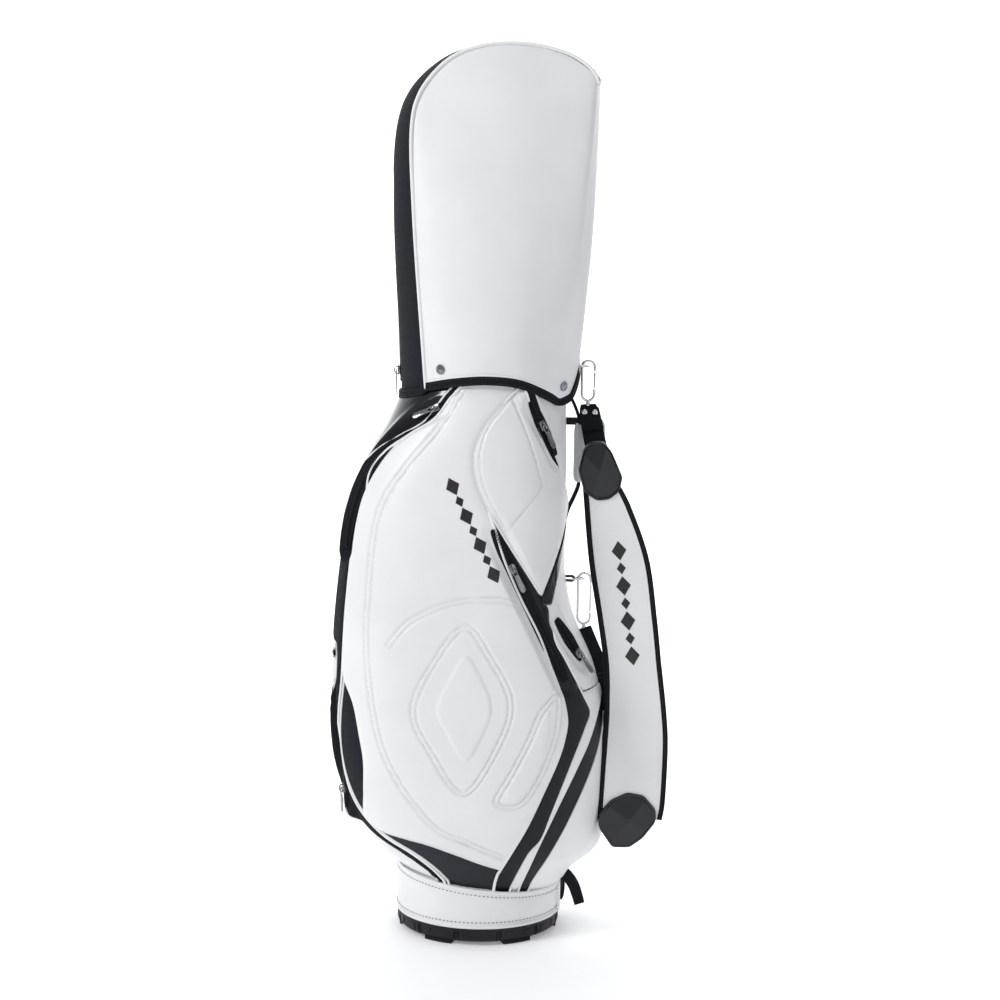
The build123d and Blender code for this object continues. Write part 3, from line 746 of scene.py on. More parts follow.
def seat_zips(points, names):
    """Draws a sheet to just under the zip tapes that lie on it, and lets it go again beside them."""
    moved = points.reshape(-1, 3).copy()
    for name in names:
        line, normals = ZIPS[name].line(1.5)
        near = np.where(np.all((moved > line.min(0) - 40) & (moved < line.max(0) + 40), axis=1))[0]
        if not len(near):
            continue
        part = moved[near]
        nearest = np.argmin(np.sum(line**2, 1) - 2 * part @ line.T, axis=1)
        offset = part - line[nearest]
        out = normals[nearest]
        rise = np.sum(offset * out, 1)
        aside = np.linalg.norm(offset - out * rise[:, None], axis=1)
        share = np.clip((SEAT_FADE - aside) / (SEAT_FADE - SEAT_FLAT), 0, 1)
        share = share * share * (3 - 2 * share) * (np.abs(rise) < 26)
        moved[near] = part - out * (share * (rise + SEAT_DEPTH))[:, None]
    return moved.reshape(points.shape)


def slider_pieces(name, suffix=""):
    """Slider and pull tab of one zip, each riding on its own body."""
    track = ZIPS[name]
    axes, origin = track.frame_axes()
    slider = Shape()
    for height, thickness in ((0.9, 1.1), (CHAIN_TOP + 0.35, 1.6)):
        work = bmesh.new()
        outline = [(-7, -3.2), (-5.2, -4.7), (1, -4.9), (5.4, -4.2), (7.2, -1.6), (7.2, 1.6), (5.4, 4.2),
                   (1, 4.9),
                   (-5.2, 4.7), (-7, 3.2)]
        verts = [work.verts.new((x, y, height)) for x, y in outline]
        face = work.faces.new(verts)
        raised = bmesh.ops.extrude_face_region(work, geom=[face])
        top = [v for v in raised["geom"] if isinstance(v, bmesh.types.BMVert)]
        bmesh.ops.translate(work, vec=(0, 0, thickness), verts=top)
        bmesh.ops.recalc_face_normals(work, faces=work.faces)
        bmesh.ops.bevel(work, geom=work.edges[:], offset=0.35, segments=2, profile=0.5, affect="EDGES")
        add_bmesh(slider, work, (axes, origin))
    for side in (-1, 1):
        add_block(slider, (axes, origin), (0, side * 4.1, 2.0), (11.5, 1.3, 2.6), 0.35)
    arch = [(-5.2, 0, 4.2), (-4.4, 0, 7.6), (-1.8, 0, 9.4), (1.8, 0, 9.4), (4.4, 0, 7.6), (5.2, 0, 4.2)]
    arch = np.array(smooth_line(arch, 6)) @ axes + origin
    add_tube(slider, arch, 0.95, 8, normals=np.broadcast_to(axes[1], arch.shape), squash=1.2)
    slider.make(f"{name}_zip_slider", GUNMETAL, f"{name}_slider", "gunmetal", [f"{name}_slider"], sharp=40)

    pull_axes = np.array([axes[0] * track.sign, axes[1] * track.sign, axes[2]])
    pivot = (pull_axes, origin + axes[2] * PIVOT_HEIGHT)
    tab = Shape()
    loop = [(0, -2.6), (2.5, -3.1), (7, -2.9), (9.8, -1.9), (9.8, 1.9), (7, 2.9), (2.5, 3.1), (0, 2.6),
            (-1.1, 0)]
    ring = np.array([(x, y, 0) for x, y in smooth_line(loop, 5, closed=True)]) @ pull_axes + pivot[1]
    add_tube(tab, ring, 0.75, 8, closed=True, normals=np.broadcast_to(axes[2], ring.shape))
    work = bmesh.new()
    edge_line = [(8.6, -1.5), (10.4, -3.2), (30, -4.0), (34.2, -3.0), (36, 0), (34.2, 3.0), (30, 4.0),
                 (10.4, 3.2),
                 (8.6, 1.5)]
    rim = [work.verts.new((x, y, -0.8)) for x, y in edge_line]
    bottom = work.faces.new(rim)
    raised = bmesh.ops.extrude_face_region(work, geom=[bottom])
    lid = [f for f in raised["geom"] if isinstance(f, bmesh.types.BMFace)]
    bmesh.ops.translate(work, vec=(0, 0, 1.6), verts=[v for v in raised["geom"]
                                                      if isinstance(v, bmesh.types.BMVert)])
    bmesh.ops.recalc_face_normals(work, faces=work.faces)
    bmesh.ops.inset_individual(work, faces=lid, thickness=1.1, depth=-0.35)
    bmesh.ops.bevel(work, geom=[e for e in work.edges if e.calc_face_angle(0) > 1.0], offset=0.25, segments=2,
                    profile=0.5, affect="EDGES")
    add_bmesh(tab, work, pivot)
    tab.make(f"{name}_zip_pull", GUNMETAL, f"{name}_pull", "gunmetal", [f"{name}_pull"], sharp=40)


def zip_chain(name, body, node, mirror=False, label=None):
    """Tape, coil teeth and tape stitching of one zip."""
    label = label or name
    line, normals = ZIPS[name].line(3.0)
    tape = Shape()
    run = run_lengths(line)
    nearest_end = np.minimum(run, run[-1] - run)
    widths = 2 * TAPE_HALF * (0.42 + 0.58 * np.sqrt(np.clip(nearest_end / 34.0, 0, 1)))
    add_strap(tape, line - normals * 0.35, normals, widths, 1.5, edge=0.8)
    tape.make(f"{label}_zip_tape", TAPE, body, "black_webbing", [node], mirror=mirror)
    dense, up = ZIPS[name].line(0.5)
    along = tangents(dense)
    teeth = Shape()
    for index in range(4, len(dense) - 4, 4):
        half = 1 if index % 8 else -1
        axes = np.array([along[index], np.cross(up[index], along[index]), up[index]])
        add_block(teeth, (axes, dense[index]), (0, half * 0.75, 1.15), (1.45, 3.0, 1.7), 0.45, 1)
    teeth.make(f"{label}_zip_teeth", PLASTIC, body, "moulded_black", mirror=mirror)
    seams = Shape()
    side = np.cross(up, along)
    for offset in (-6.6, 6.6):
        add_stitches(seams, (dense + side * offset + up * 0.3)[60:-60], up[60:-60], 2.4, 1.3, 0.24)
    seams.make(f"{label}_zip_stitching", DARK_THREAD, body, "black_webbing", mirror=mirror)


# ============================================================ pocketed body
def offset_line(points, distance, closed=False):
    """An (x, z) line moved sideways."""
    line = resample(smooth_line(points, closed=closed), 6.0, closed)
    along = tangents(line, closed)
    return line + np.stack([along[:, 1], -along[:, 0]], 1) * distance


def double_channel(panel, points, closed=False, spread_mm=3.4, depth=2.3, width=1.7):
    """Two pressed lines side by side, with the padding standing between them."""
    for side in (-1, 1):
        panel.groove(offset_line(points, side * spread_mm, closed), depth, width, closed)


# Quilting of the main panel: an argyle of two nested diamonds, crossed by leaf-shaped channels
LONG_CURVE = [(-24, 804), (-61, 741), (-115, 672), (-143, 616), (-153, 532), (-155, 419), (-133, 292),
              (-69, 192),
              (-12, 160), (35, 138)]
OUTER_DIAMOND = [(-22, 470), (12, 428), (40, 372), (30, 315), (-20, 236), (-66, 292), (-92, 352), (-64, 420)]
INNER_DIAMOND = [(-22, 430), (2, 396), (14, 362), (6, 328), (-20, 284), (-46, 322), (-60, 356), (-44, 396)]
UPPER_LEAF = [(-126, 440), (-96, 476), (-40, 503), (20, 508), (52, 500)]
REAR_LEAF = [(106, 372), (84, 352), (68, 314), (46, 268), (24, 226), (42, 216), (62, 224), (84, 262),
                   (104, 318)]


def main_panel(side):
    near = side == "near"
    panel = Panel(MAIN_FRONT, MAIN_REAR, BODY_TOP, 117, puff=4.6, lift=2.2, roll=12, crown=2.6,
                      zips=("near_front", "near_rear") if near else ("near_front",))
    double_channel(panel, LONG_CURVE)
    for shape in (OUTER_DIAMOND, REAR_LEAF):
        double_channel(panel, shape, closed=True)
    double_channel(panel, UPPER_LEAF)
    panel.raise_area(INNER_DIAMOND, 2.0, 5.0)
    panel.raise_area([(94, 352), (80, 340), (66, 300), (46, 262), (36, 232), (50, 228), (66, 242), (88, 290)],
                     1.6, 6)
    body = panel.sheet(step=1.9)
    piece = body.make(f"{side}_main_panel", WHITE, "bag", "white_leather",
                      [f"{side}_side_pocket"], mirror=not near)
    seams = Shape()
    for line, closed in ((LONG_CURVE, False), (OUTER_DIAMOND, True), (UPPER_LEAF, False), (REAR_LEAF, True)):
        for offset in (-3.4, 3.4):
            panel.stitch(seams, offset_line(line, offset, closed), closed, length=3.2, gap=1.4, radius=0.3)
    seams.make(f"{side}_main_stitching", THREAD, "bag", "white_leather", mirror=not near)
    return panel


def print_diamonds(panel, start, end, count, size, name, side):
    """Row of thin printed diamonds along a line on a panel."""
    shape = Shape()
    start, end = np.array(start, float), np.array(end, float)
    along = unit(end - start)
    across = np.array([along[1], -along[0]])
    for index in range(count):
        centre = start + (end - start) * (index + 0.5) / count
        scale = size * (1.0 if index % 2 == 0 else 0.62)
        s, t = np.meshgrid(np.linspace(-1, 1, 9), np.linspace(-1, 1, 9), indexing="ij")
        sideways, lengthways = ((s + t) / 2)[..., None], ((s - t) / 2)[..., None]
        flat = centre + sideways * across * scale * 0.75 + lengthways * along * scale
        u = near_u(flat[..., 0], flat[..., 1])
        points, normals = body_point(u, flat[..., 1]), body_normal(u, flat[..., 1])
        add_sheet(shape, panel.surface(points, normals) + normals * 0.3, normals, 0.6)
    shape.make(name, INK, "bag", "black_leather", mirror=side == "far")


# Plain sheets of one side: name, front and rear seam, top, bottom, mesh step, padding (puff, lift, roll),
# material and slot
SIDE_SHEETS = (
    ("front_zip_band", BAND_FRONT, FRONT_SEAM, BODY_TOP, BODY_LOW, 3.0, (2.6, 2.6, 9), TAPE, "black_webbing"),
    ("lens_mesh", FRONT_SEAM, MAIN_FRONT, 392, 183, 2.6, (1.4, 0.2, 8), MESH, "black_mesh"),
    ("lower_mesh", FRONT_SEAM, blended(MAIN_FRONT, MAIN_REAR, 118, 2), 168, BODY_LOW, 2.2, (1.2, 0.2, 8),
     GREY_MESH,
     "black_mesh"),
    ("rear_band", MAIN_REAR, REAR_BAND_REAR, 634, BODY_LOW, 2.2, (1.6, 0.2, 9), BLACK, "black_leather"),
    ("upper_opening", LENS_REAR, SPINE_FRONT_HIGH, BODY_TOP, 668, 2.4, (0.4, 0.1, 3), TAPE, "black_webbing"),
    ("wedge", WEDGE_FRONT, WEDGE_REAR, 604, 497, 2.4, (0.6, 2.4, 3), PATENT, "black_leather"),
    ("rear_strip", REAR_BAND_REAR, SECOND_BAND_FRONT, BAND_SPLIT, BODY_LOW, 2.2, (1.6, 0.8, 5), WHITE,
     "white_leather"),
    ("second_band", SECOND_BAND_FRONT, SECOND_BAND_REAR, BAND_SPLIT, BODY_LOW, 2.2, (0.9, 0.1, 6), BLACK,
     "black_leather"),
)
# Piping of one side: name, seam, top, bottom, radius and lift above the body
PIPING_LOW = 66
SIDE_PIPING = (
    ("front_piping", FRONT_SEAM, BODY_TOP, PIPING_LOW, 2.1, 2.2),
    ("lower_piping", shifted(FRONT_SEAM, -6.0), 384, PIPING_LOW, 1.7, 1.6),
    ("band_piping", BAND_FRONT, BODY_TOP, PIPING_LOW, 1.5, 1.2),
    ("lens_piping", MAIN_FRONT, 386, 117, 1.7, 2.0),
    ("rear_piping", MAIN_REAR, 628, PIPING_LOW, 2.2, 2.2),
    ("pocket_front_piping", LENS_FRONT, BODY_TOP, 514, 1.9, 2.4),
    ("pocket_rear_piping", LENS_REAR, BODY_TOP, 512, 1.3, 1.6),
    ("band_rear_piping", REAR_BAND_REAR, 500, PIPING_LOW, 1.6, 1.2),
    ("second_front_piping", SECOND_BAND_FRONT, 368, PIPING_LOW, 1.5, 1.0),
    ("second_rear_piping", SECOND_BAND_REAR, 368, PIPING_LOW, 1.5, 1.0),
)
KITE = [(35, 787), (60, 726), (76, 673), (76, 661), (68, 647), (31, 599)]
POCKET_CURVE = [(44, 794), (24, 768), (5, 742), (-4, 716), (-6, 691), (0, 664), (13, 636), (31, 604)]


def upper_pocket(side, zips):
    """Lens-shaped pocket under the hem, with a pressed kite."""
    flip = side == "far"
    pocket = Panel(LENS_FRONT, LENS_REAR, BODY_TOP, 511, zips=zips, puff=3.4, lift=1.8, roll=11, crown=1.2)
    inner = offset_line(POCKET_CURVE, 0)
    seams = Shape()
    for line in (inner, KITE):
        pocket.groove(line, 1.9, 1.6)
    for line in (KITE, inner):
        pocket.stitch(seams, line, length=3.0, radius=0.3)
    node = "far_upper_panel" if flip else "near_valuables_pocket"
    piece = pocket.sheet(step=2.0).make(f"{side}_upper_pocket", WHITE, "bag", "white_leather", [node],
                                        mirror=flip)
    seams.make(f"{side}_upper_stitching", THREAD, "bag", "white_leather", mirror=flip)


def side_of_body(side):
    """Everything between the front band and the spine panel on one side."""
    flip = side == "far"
    zips = ("near_front",) if flip else ("near_front", "near_rear", "near_valuables", "spine", "ball")
    panel = main_panel(side)
    print_diamonds(panel, (-47, 672), (20, 533), 7, 13, f"{side}_print", side)
    upper_pocket(side, zips)
    for name, front, rear, top, bottom, step, (puff, lift, roll), material, slot in SIDE_SHEETS:
        plain = Panel(front, rear, top, bottom, zips=zips, puff=puff, lift=lift, roll=roll)
        plain.sheet(step=step).make(f"{side}_{name}", material, "bag", slot, mirror=flip)
    for name, seam, top, bottom, radius, lift in SIDE_PIPING:
        line, normals = seam_points(seam, top, bottom, lift, 3.0)
        drop = np.clip((CUFF_LEVEL + CUFF_SLOPE * line[:, 0] + 2 - line[:, 2]) / 6, 0, 1)
        line = seat_zips(line - normals * (3.5 * drop)[:, None], zips)
        tube = Shape()
        add_tube(tube, line, radius, 10, normals=normals)
        tube.make(f"{side}_{name}", PIPING, "bag", "white_leather", mirror=flip)


def spine_panels():
    """Leather over the spine from one side's seam to the other's."""
    front = blended(SPINE_FRONT_HIGH, SECOND_BAND_REAR, BAND_SPLIT, 2)
    # u runs past the spine at zero, so the far side's seam is the near one with its sign changed
    panel = Panel(front, lambda z: -front(z), BODY_TOP, BODY_LOW,
                  zips=("near_valuables", "near_rear", "spine"),
                     puff=0.5, lift=0.0, roll=9)
    piece = panel.sheet(step=2.6).make("spine_panel", WHITE, "bag", "white_leather", ["spine_pocket"])


def front_panels():
    """Ball pocket below and accessory pocket above, between the two front bands."""
    far_band = mirrored(BAND_FRONT)
    for name, node, zip_name, top, bottom in (("ball_pocket_panel", "ball_pocket", "ball", 408, BODY_LOW),
                                              ("accessory_panel", "front_accessory_pocket", "near_front", 690,
                                               412)):
        panel = Panel(BAND_FRONT, far_band, top, bottom, zips=(zip_name,), puff=1.6, lift=0.2, roll=18)
        piece = panel.sheet(step=2.4).make(name, WHITE, "bag", "white_leather", [node])
    high = Panel(BAND_FRONT, far_band, BODY_TOP, 694, zips=("near_front",), puff=2.4, lift=0.8, roll=10)
    high.sheet(step=2.4).make("front_upper_panel", PATENT, "bag", "black_leather")
    for height, label in ((410, "ball"), (692, "accessory")):
        u = np.linspace(float(BAND_FRONT(height)), 4 - float(BAND_FRONT(height)), 160)
        z = np.full(160, float(height))
        line, normals = body_point(u, z), body_normal(u, z)
        shape = Shape()
        add_strap(shape, line + normals * 0.6, normals, 9.0, 2.6)
        shape.make(f"{label}_pocket_band", TAPE, "bag", "black_webbing")
        for offset in (-5.6, 5.6):
            shape = Shape()
            lifted = body_point(u, z + offset) + normals * 1.8
            add_tube(shape, lifted, 1.8, 10, normals=normals)
            side = "upper" if offset > 0 else "lower"
            shape.make(f"{label}_pocket_{side}_piping", PIPING, "bag", "white_leather")


# ============================================================ rain hood
HOOD_SKIN = 2.6
PIPED_EDGE = [(-83, -89.5, 794), (-91, -88, 890), (-98, -86.5, 973), (-103, -85.5, 1045), (-107, -84.5, 1125),
              (-105, -84, 1171), (-97, -83.5, 1199), (-82, -83, 1223), (-59, -83, 1246), (-34, -83, 1260),
              (0, -83, 1269), (37, -83, 1271), (76, -82, 1267), (110, -81, 1257), (133, -80, 1244),
              (147, -78, 1230), (151, -74, 1217)]
EDGE_SPLIT = 4
HEM_SIDE = [(-83, -89.5, 794), (-45, -113.5, 802), (0, -122, 806), (45, -114, 802), (80, -92, 788),
            (105, -66, 774)]
HEM_REAR = [(105, -66, 774), (121, -52, 782), (130, -46, 805), (131, -40, 828), (127, -24, 850),
            (124, 0, 856)]
SPINE_EDGE = [(124, 0, 856), (131, 0, 919), (137, 0, 969), (143, 0, 1018), (148, 0, 1075), (152, 0, 1131),
              (156, 0, 1187), (158, 0, 1224)]
ROOF_REAR = [(151, -74, 1217), (156, -40, 1223), (158, 0, 1224)]
CORNER_SHARE = 0.7
SIDE_BULGE = 15.0


def along_curve(points, count, power=1.0):
    even = resample(smooth_line(points, 20), 0.5)
    at = np.linspace(0, 1, count) ** power
    grid = np.linspace(0, 1, len(even))
    return np.stack([np.interp(at, grid, even[:, k]) for k in range(3)], 1)


def two_runs(first, second, count):
    """One border made of two curves that meet at CORNER_SHARE."""
    split = int(round(count * CORNER_SHARE))
    return np.vstack([along_curve(first, split)[:-1], along_curve(second, count - split + 1)])


def hood_side_surface(cols=130, rows=150):
    """Coons patch over the near side of the hood, swelled outwards."""
    top = two_runs(PIPED_EDGE[EDGE_SPLIT:], ROOF_REAR, cols)
    low = two_runs(HEM_SIDE, HEM_REAR, cols)
    left = along_curve(PIPED_EDGE[:EDGE_SPLIT + 1], rows)
    right = along_curve(SPINE_EDGE, rows)
    s = np.linspace(0, 1, cols)[None, :, None]
    t = np.linspace(0, 1, rows)[:, None, None]
    plain = ((1 - t) * low[None] + t * top[None] + (1 - s) * left[:, None] + s * right[:, None]
             - (1 - s) * (1 - t) * low[0] - s * (1 - t) * low[-1] - (1 - s) * t * top[0] - s * t * top[-1])
    swell = np.sin(np.pi * t**0.9) ** 0.8 * np.sin(np.pi * s) ** 0.75
    plain[..., 1:2] -= SIDE_BULGE * swell
    plain[..., 0:1] += 5.0 * swell * (s > 0.5) * np.sin(np.pi * (s - 0.5)) ** 2
    return plain


def grid_normals(points):
    du = np.gradient(points, axis=1)
    dv = np.gradient(points, axis=0)
    return unit(np.cross(dv, du))


def soft_edge(points, reach, drop):
    """How far a sheet's edge rolls inwards near its border."""
    border = np.concatenate([points[0], points[-1], points[:, 0]])
    gap = np.clip(distance_to(points, resample(border, 3.0)) / reach, 0, 1)
    return -drop * (1 - np.sqrt(np.maximum(1 - (1 - gap) ** 2, 0)))


def hood_sides():
    near = hood_side_surface()
    normals = grid_normals(near)
    if normals[60, 50, 1] > 0:
        normals = -normals
    folds = (0.9 * np.sin(near[..., 2] / 34.0 + near[..., 0] / 26.0) * np.clip((900 - near[..., 2]) / 120, 0,
                                                                               1)
             + 0.8 * np.sin(near[..., 0] / 41.0 + near[..., 2] / 90.0) * np.clip((near[..., 2] - 1080) / 120,
                                                                                 0, 1))
    near = near + normals * (soft_edge(near, 7.0, 2.6) + folds * 0.8)[..., None]
    far = near[:, ::-1] * (1, -1, 1)
    whole = np.concatenate([near, far[:, 1:]], 1)
    whole_normals = np.concatenate([normals, (normals[:, ::-1] * (1, -1, 1))[:, 1:]], 1)
    middle = near.shape[1] - 1
    whole_normals[:, middle] = unit(whole_normals[:, middle] * (1, 0, 1))
    if whole_normals[60, 50, 1] > 0:
        whole_normals = -whole_normals
    shape = Shape()
    add_sheet(shape, whole, whole_normals, HOOD_SKIN, grid_uv(whole))
    shape.make("hood_side_panels", WHITE, "hood", "white_leather", ["hood_panel"])
    return whole, whole_normals


GUSSET_BULGE = [(0.0, 38), (0.18, 36), (0.36, 33), (0.5, 27), (0.6, 19), (0.7, 9), (0.8, 5), (0.93, 3),
                (1.0, 1)]


def hood_gusset():
    """Mesh strip up the front and over the roof, between the two piped edges."""
    edge_line = along_curve([(-82.5, -90, 781)] + PIPED_EDGE, 190)
    along = unit(np.gradient(edge_line * (1, 0, 1), axis=0))
    out = np.stack([-along[:, 2], np.zeros(len(along)), along[:, 0]], 1)
    share = np.linspace(0, 1, len(edge_line))
    table = np.array(GUSSET_BULGE)
    bulge = np.interp(share, table[:, 0], table[:, 1])
    bulge = np.convolve(np.pad(bulge, 8, mode="edge"), np.ones(17) / 17, mode="valid")
    v = np.linspace(-1, 1, 71)
    arch = 1 - np.abs(v) ** 2.3
    grid = edge_line[:, None] * (1, 0, 1) + out[:, None] * (bulge[:, None] * arch)[..., None]
    grid = grid + np.array((0, 1, 0)) * (v[None] * -edge_line[:, 1:2])[..., None]
    # The roof's rear end meets the bowed rear edge of the side panels
    rear = np.clip((share - 0.94) / 0.06, 0, 1)[:, None] * arch
    grid = grid + rear[..., None] * np.array((7.0, 0, 7.0))
    normals = grid_normals(grid)
    if normals[40, 35, 0] > 0:
        normals = -normals
    grid = grid + normals * (-0.6)
    grid = seat_zips(grid, ("hood",))
    shape = Shape()
    add_sheet(shape, grid, normals, HOOD_SKIN, grid_uv(grid))
    shape.make("hood_front_gusset", MESH, "hood", "black_mesh", ["hood_gusset"])


def hood_trim(surface, normals):
    for flip, side in ((1, "near"), (-1, "far")):
        line = along_curve(PIPED_EDGE, 260) * (1, flip, 1)
        shape = Shape()
        outward = unit(line - (20, 0, 1020))
        add_tube(shape, line + np.array((0, -0.6 * flip, 0)), 2.5, 12, normals=outward)
        shape.make(f"{side}_hood_piping", PIPING, "hood", "white_leather")
    rear = along_curve(ROOF_REAR, 30)
    rear = np.vstack([rear, rear[-2::-1] * (1, -1, 1)])
    shape = Shape()
    add_tube(shape, rear + (0.5, 0, 0.5), 2.2, 10)
    shape.make("hood_rear_piping", PIPING, "hood", "white_leather")

    hem = np.vstack([along_curve(HEM_SIDE, 90)[:-1], along_curve(HEM_REAR, 60)])
    hem = np.vstack([hem, hem[-2:0:-1] * (1, -1, 1)])
    front = along_curve([(-83, 89.5, 790), (-109, 58, 783), (-119, 30, 780), (-121.5, 0, 779),
                         (-119, -30, 780),
                         (-109, -58, 783), (-83, -89.5, 790)], 80)
    loop = np.vstack([hem, (hem[0] * (1, -1, 1))[None], front[1:-1]])
    loop = resample(smooth_line(resample(loop, 9.0, True), 4, True), 3.0, True)
    outward = unit(loop * (1, 1, 0))
    shape = Shape()
    add_strap(shape, loop + outward * 0.2 + (0, 0, 2.0), outward, 12.5, 5.0, edge=0.85, closed=True)
    shape.make("hood_hem_binding", WEBBING, "hood", "black_webbing", ["hood_binding"])
    shape = Shape()
    for offset in (5.4, -2.0):
        add_stitches(shape, loop + outward * 2.8 + (0, 0, offset), outward, 3.2, 1.6, 0.3)
    shape.make("hood_hem_stitching", DARK_THREAD, "hood", "black_webbing")
    white = loop[loop[:, 0] > -82]
    upper = Shape()
    start = np.argmax(np.linalg.norm(np.diff(white, axis=0, append=white[:1]), axis=1))
    white = np.roll(white, -(start + 1), axis=0)
    add_tube(upper, white + unit(white * (1, 1, 0)) * 1.6 + (0, 0, 9.4), 1.5, 8,
             normals=unit(white * (1, 1, 0)))
    upper.make("hood_hem_piping", PIPING, "hood", "white_leather")

    caps = Shape()
    studs = Shape()
    flat = surface.reshape(-1, 3)
    flat_normals = normals.reshape(-1, 3)
    for flip in (1, -1):
        for x, z in ((-62, 821), (110, 799)):
            side = flat[:, 1] * flip < -20
            score = (flat[:, 0] - x) ** 2 + (flat[:, 2] - z) ** 2 + np.where(side, 0, 1e9)
            near = np.argmin(score)
            normal = flat_normals[near]
            tilt = unit(np.cross(normal, (0, 0, 1)))
            axes = np.array([tilt, np.cross(normal, tilt), normal])
            lathe(caps, [(0, -3.0), (7.0, -3.0), (7.2, 0.6), (6.6, 1.7), (5.2, 1.9), (4.4, 1.1), (2.0, 1.5),
                         (0, 1.6)], axes, flat[near])
            lathe(studs, [(0, -0.6), (4.6, -0.6), (4.6, 0.4), (3.4, 1.0), (2.2, 1.2), (0, 1.2)], axes,
                  flat[near] - normal * 4.6)
    caps.make("hood_snap_caps", GUNMETAL, "hood", "gunmetal", ["hood_snaps"], sharp=50)
    studs.make("cuff_snap_studs", GUNMETAL, "bag", "gunmetal", ["snap_studs"], sharp=50)


def lathe(shape, profile, axes, origin, sides=28):
    """Turned solid from (radius, height) points, first and last on the axis."""
    profile = np.array(profile, float)
    angle = np.linspace(0, 2 * math.pi, sides, endpoint=False)
    ring = np.stack([np.cos(angle), np.sin(angle)], 1)
    body = profile[1:-1]
    verts = np.concatenate([np.concatenate([r * ring, np.full((sides, 1), h)], 1) for r, h in body])
    verts = np.vstack([verts, (0, 0, profile[0, 1]), (0, 0, profile[-1, 1])])
    faces = grid_faces(len(body), sides, closed=True)
    low, high = len(verts) - 2, len(verts) - 1
    last = (len(body) - 1) * sides
    faces += [((j + 1) % sides, j, low) for j in range(sides)]
    faces += [(last + j, last + (j + 1) % sides, high) for j in range(sides)]
    shape.add(verts @ np.asarray(axes) + np.asarray(origin), faces, verts[:, :2])


# ============================================================ base, mouth and inside
def cuff_rows(profile, sides=240):
    """Closed ring swept round the tube: profile points are radius, share of the way up and extra height."""
    angle = np.linspace(0, 2 * math.pi, sides, endpoint=False)
    rings = []
    for radius, share, extra in profile:
        x, y = radius * np.cos(angle), radius * np.sin(angle)
        top = CUFF_LEVEL + CUFF_SLOPE * x
        ripple = 0.35 * np.sin(angle * 7 + share * 2) * np.sin(math.pi * share)
        reach = np.stack([np.cos(angle), np.sin(angle), 0 * angle], 1) * ripple[:, None]
        rings.append(np.stack([x, y, CUFF_BOTTOM + (top - CUFF_BOTTOM) * share + extra], 1) + reach)
    return np.array(rings)


CUFF_BOTTOM = 24.6


def base_cuff():
    outer, inner = 120.6, 116.2
    profile = [(inner, 0, 1), (outer - 1.6, 0, 0), (outer - 0.3, 0, 0.8), (outer, 0, 2.4),
               (outer - 0.2, 0, 4.6),
               (outer - 1.5, 0, 5.6), (outer - 1.2, 0.14, 4.5), (outer - 0.5, 0.32, 2), (outer - 0.3, 0.5, 0),
               (outer - 0.6, 0.7, -1), (outer - 1.2, 0.9, -2), (outer - 1.5, 1, -4.4), (outer - 0.3, 1, -3.0),
               (outer + 0.1, 1, -1.4), (outer - 0.4, 1, 0.3), (outer - 1.8, 1, 0.9), (outer - 3.2, 1, 0.3),
               (inner, 1, -1.6)]
    rings = cuff_rows(profile)
    shape = Shape()
    shape.add(rings.reshape(-1, 3), tube_faces(len(profile), rings.shape[1], closed=True))
    shape.make("cuff_leather", WHITE, "bag", "white_leather", ["base_cuff"])
    angle = np.linspace(0, 2 * math.pi, 700)
    out = np.stack([np.cos(angle), np.sin(angle), 0 * angle], 1)
    seams = Shape()
    for row, drop in ((0, 9.6), (1, -8.0)):
        level = CUFF_LEVEL + CUFF_SLOPE * 119.3 * np.cos(angle) if row else np.full(angle.shape, CUFF_BOTTOM)
        add_stitches(seams, out * 119.6 + np.stack([0 * angle, 0 * angle, level + drop], 1), out, 3.4, 2.6,
                     0.52)
    seams.make("cuff_stitching", GREY_THREAD, "bag", "white_leather")
    flap = Shape()
    turn = np.linspace(math.radians(-16), math.radians(-2), 16)
    z = np.linspace(0, 1, 30)[:, None]
    reach = 121.4 + 0 * z
    x, y = reach * np.cos(turn)[None], reach * np.sin(turn)[None]
    top = CUFF_LEVEL + CUFF_SLOPE * x - 1.0
    grid = np.stack([x, y, CUFF_BOTTOM + 1 + (top - CUFF_BOTTOM - 1) * z], -1)
    add_sheet(flap, grid, unit(grid * (1, 1, 0)), 1.8)
    flap.make("cuff_overlap", WHITE, "bag", "white_leather")
    edge_line = grid[:, 0]
    seam = Shape()
    add_stitches(seam, edge_line + (unit(edge_line * (1, 1, 0)) * 0.1) + (0.7, 3.0, 0),
                 unit(edge_line * (1, 1, 0)),
                 3.0, 2.0, 0.36)
    seam.make("cuff_overlap_stitching", GREY_THREAD, "bag", "white_leather")


def base_details():
    """Ribs between the base's notches."""
    ribs = Shape()
    for step in range(24):
        angle = math.radians(15 * step + 7.5)
        axes = np.array([(math.cos(angle), math.sin(angle), 0), (-math.sin(angle), math.cos(angle), 0),
                         (0, 0, 1)])
        add_block(ribs, (axes, np.zeros(3)), (117.9, 0, 14.5), (1.4, 11, 9.5), 0.5)
    ribs.make("base_ribs", PLASTIC, "bag", "moulded_black")


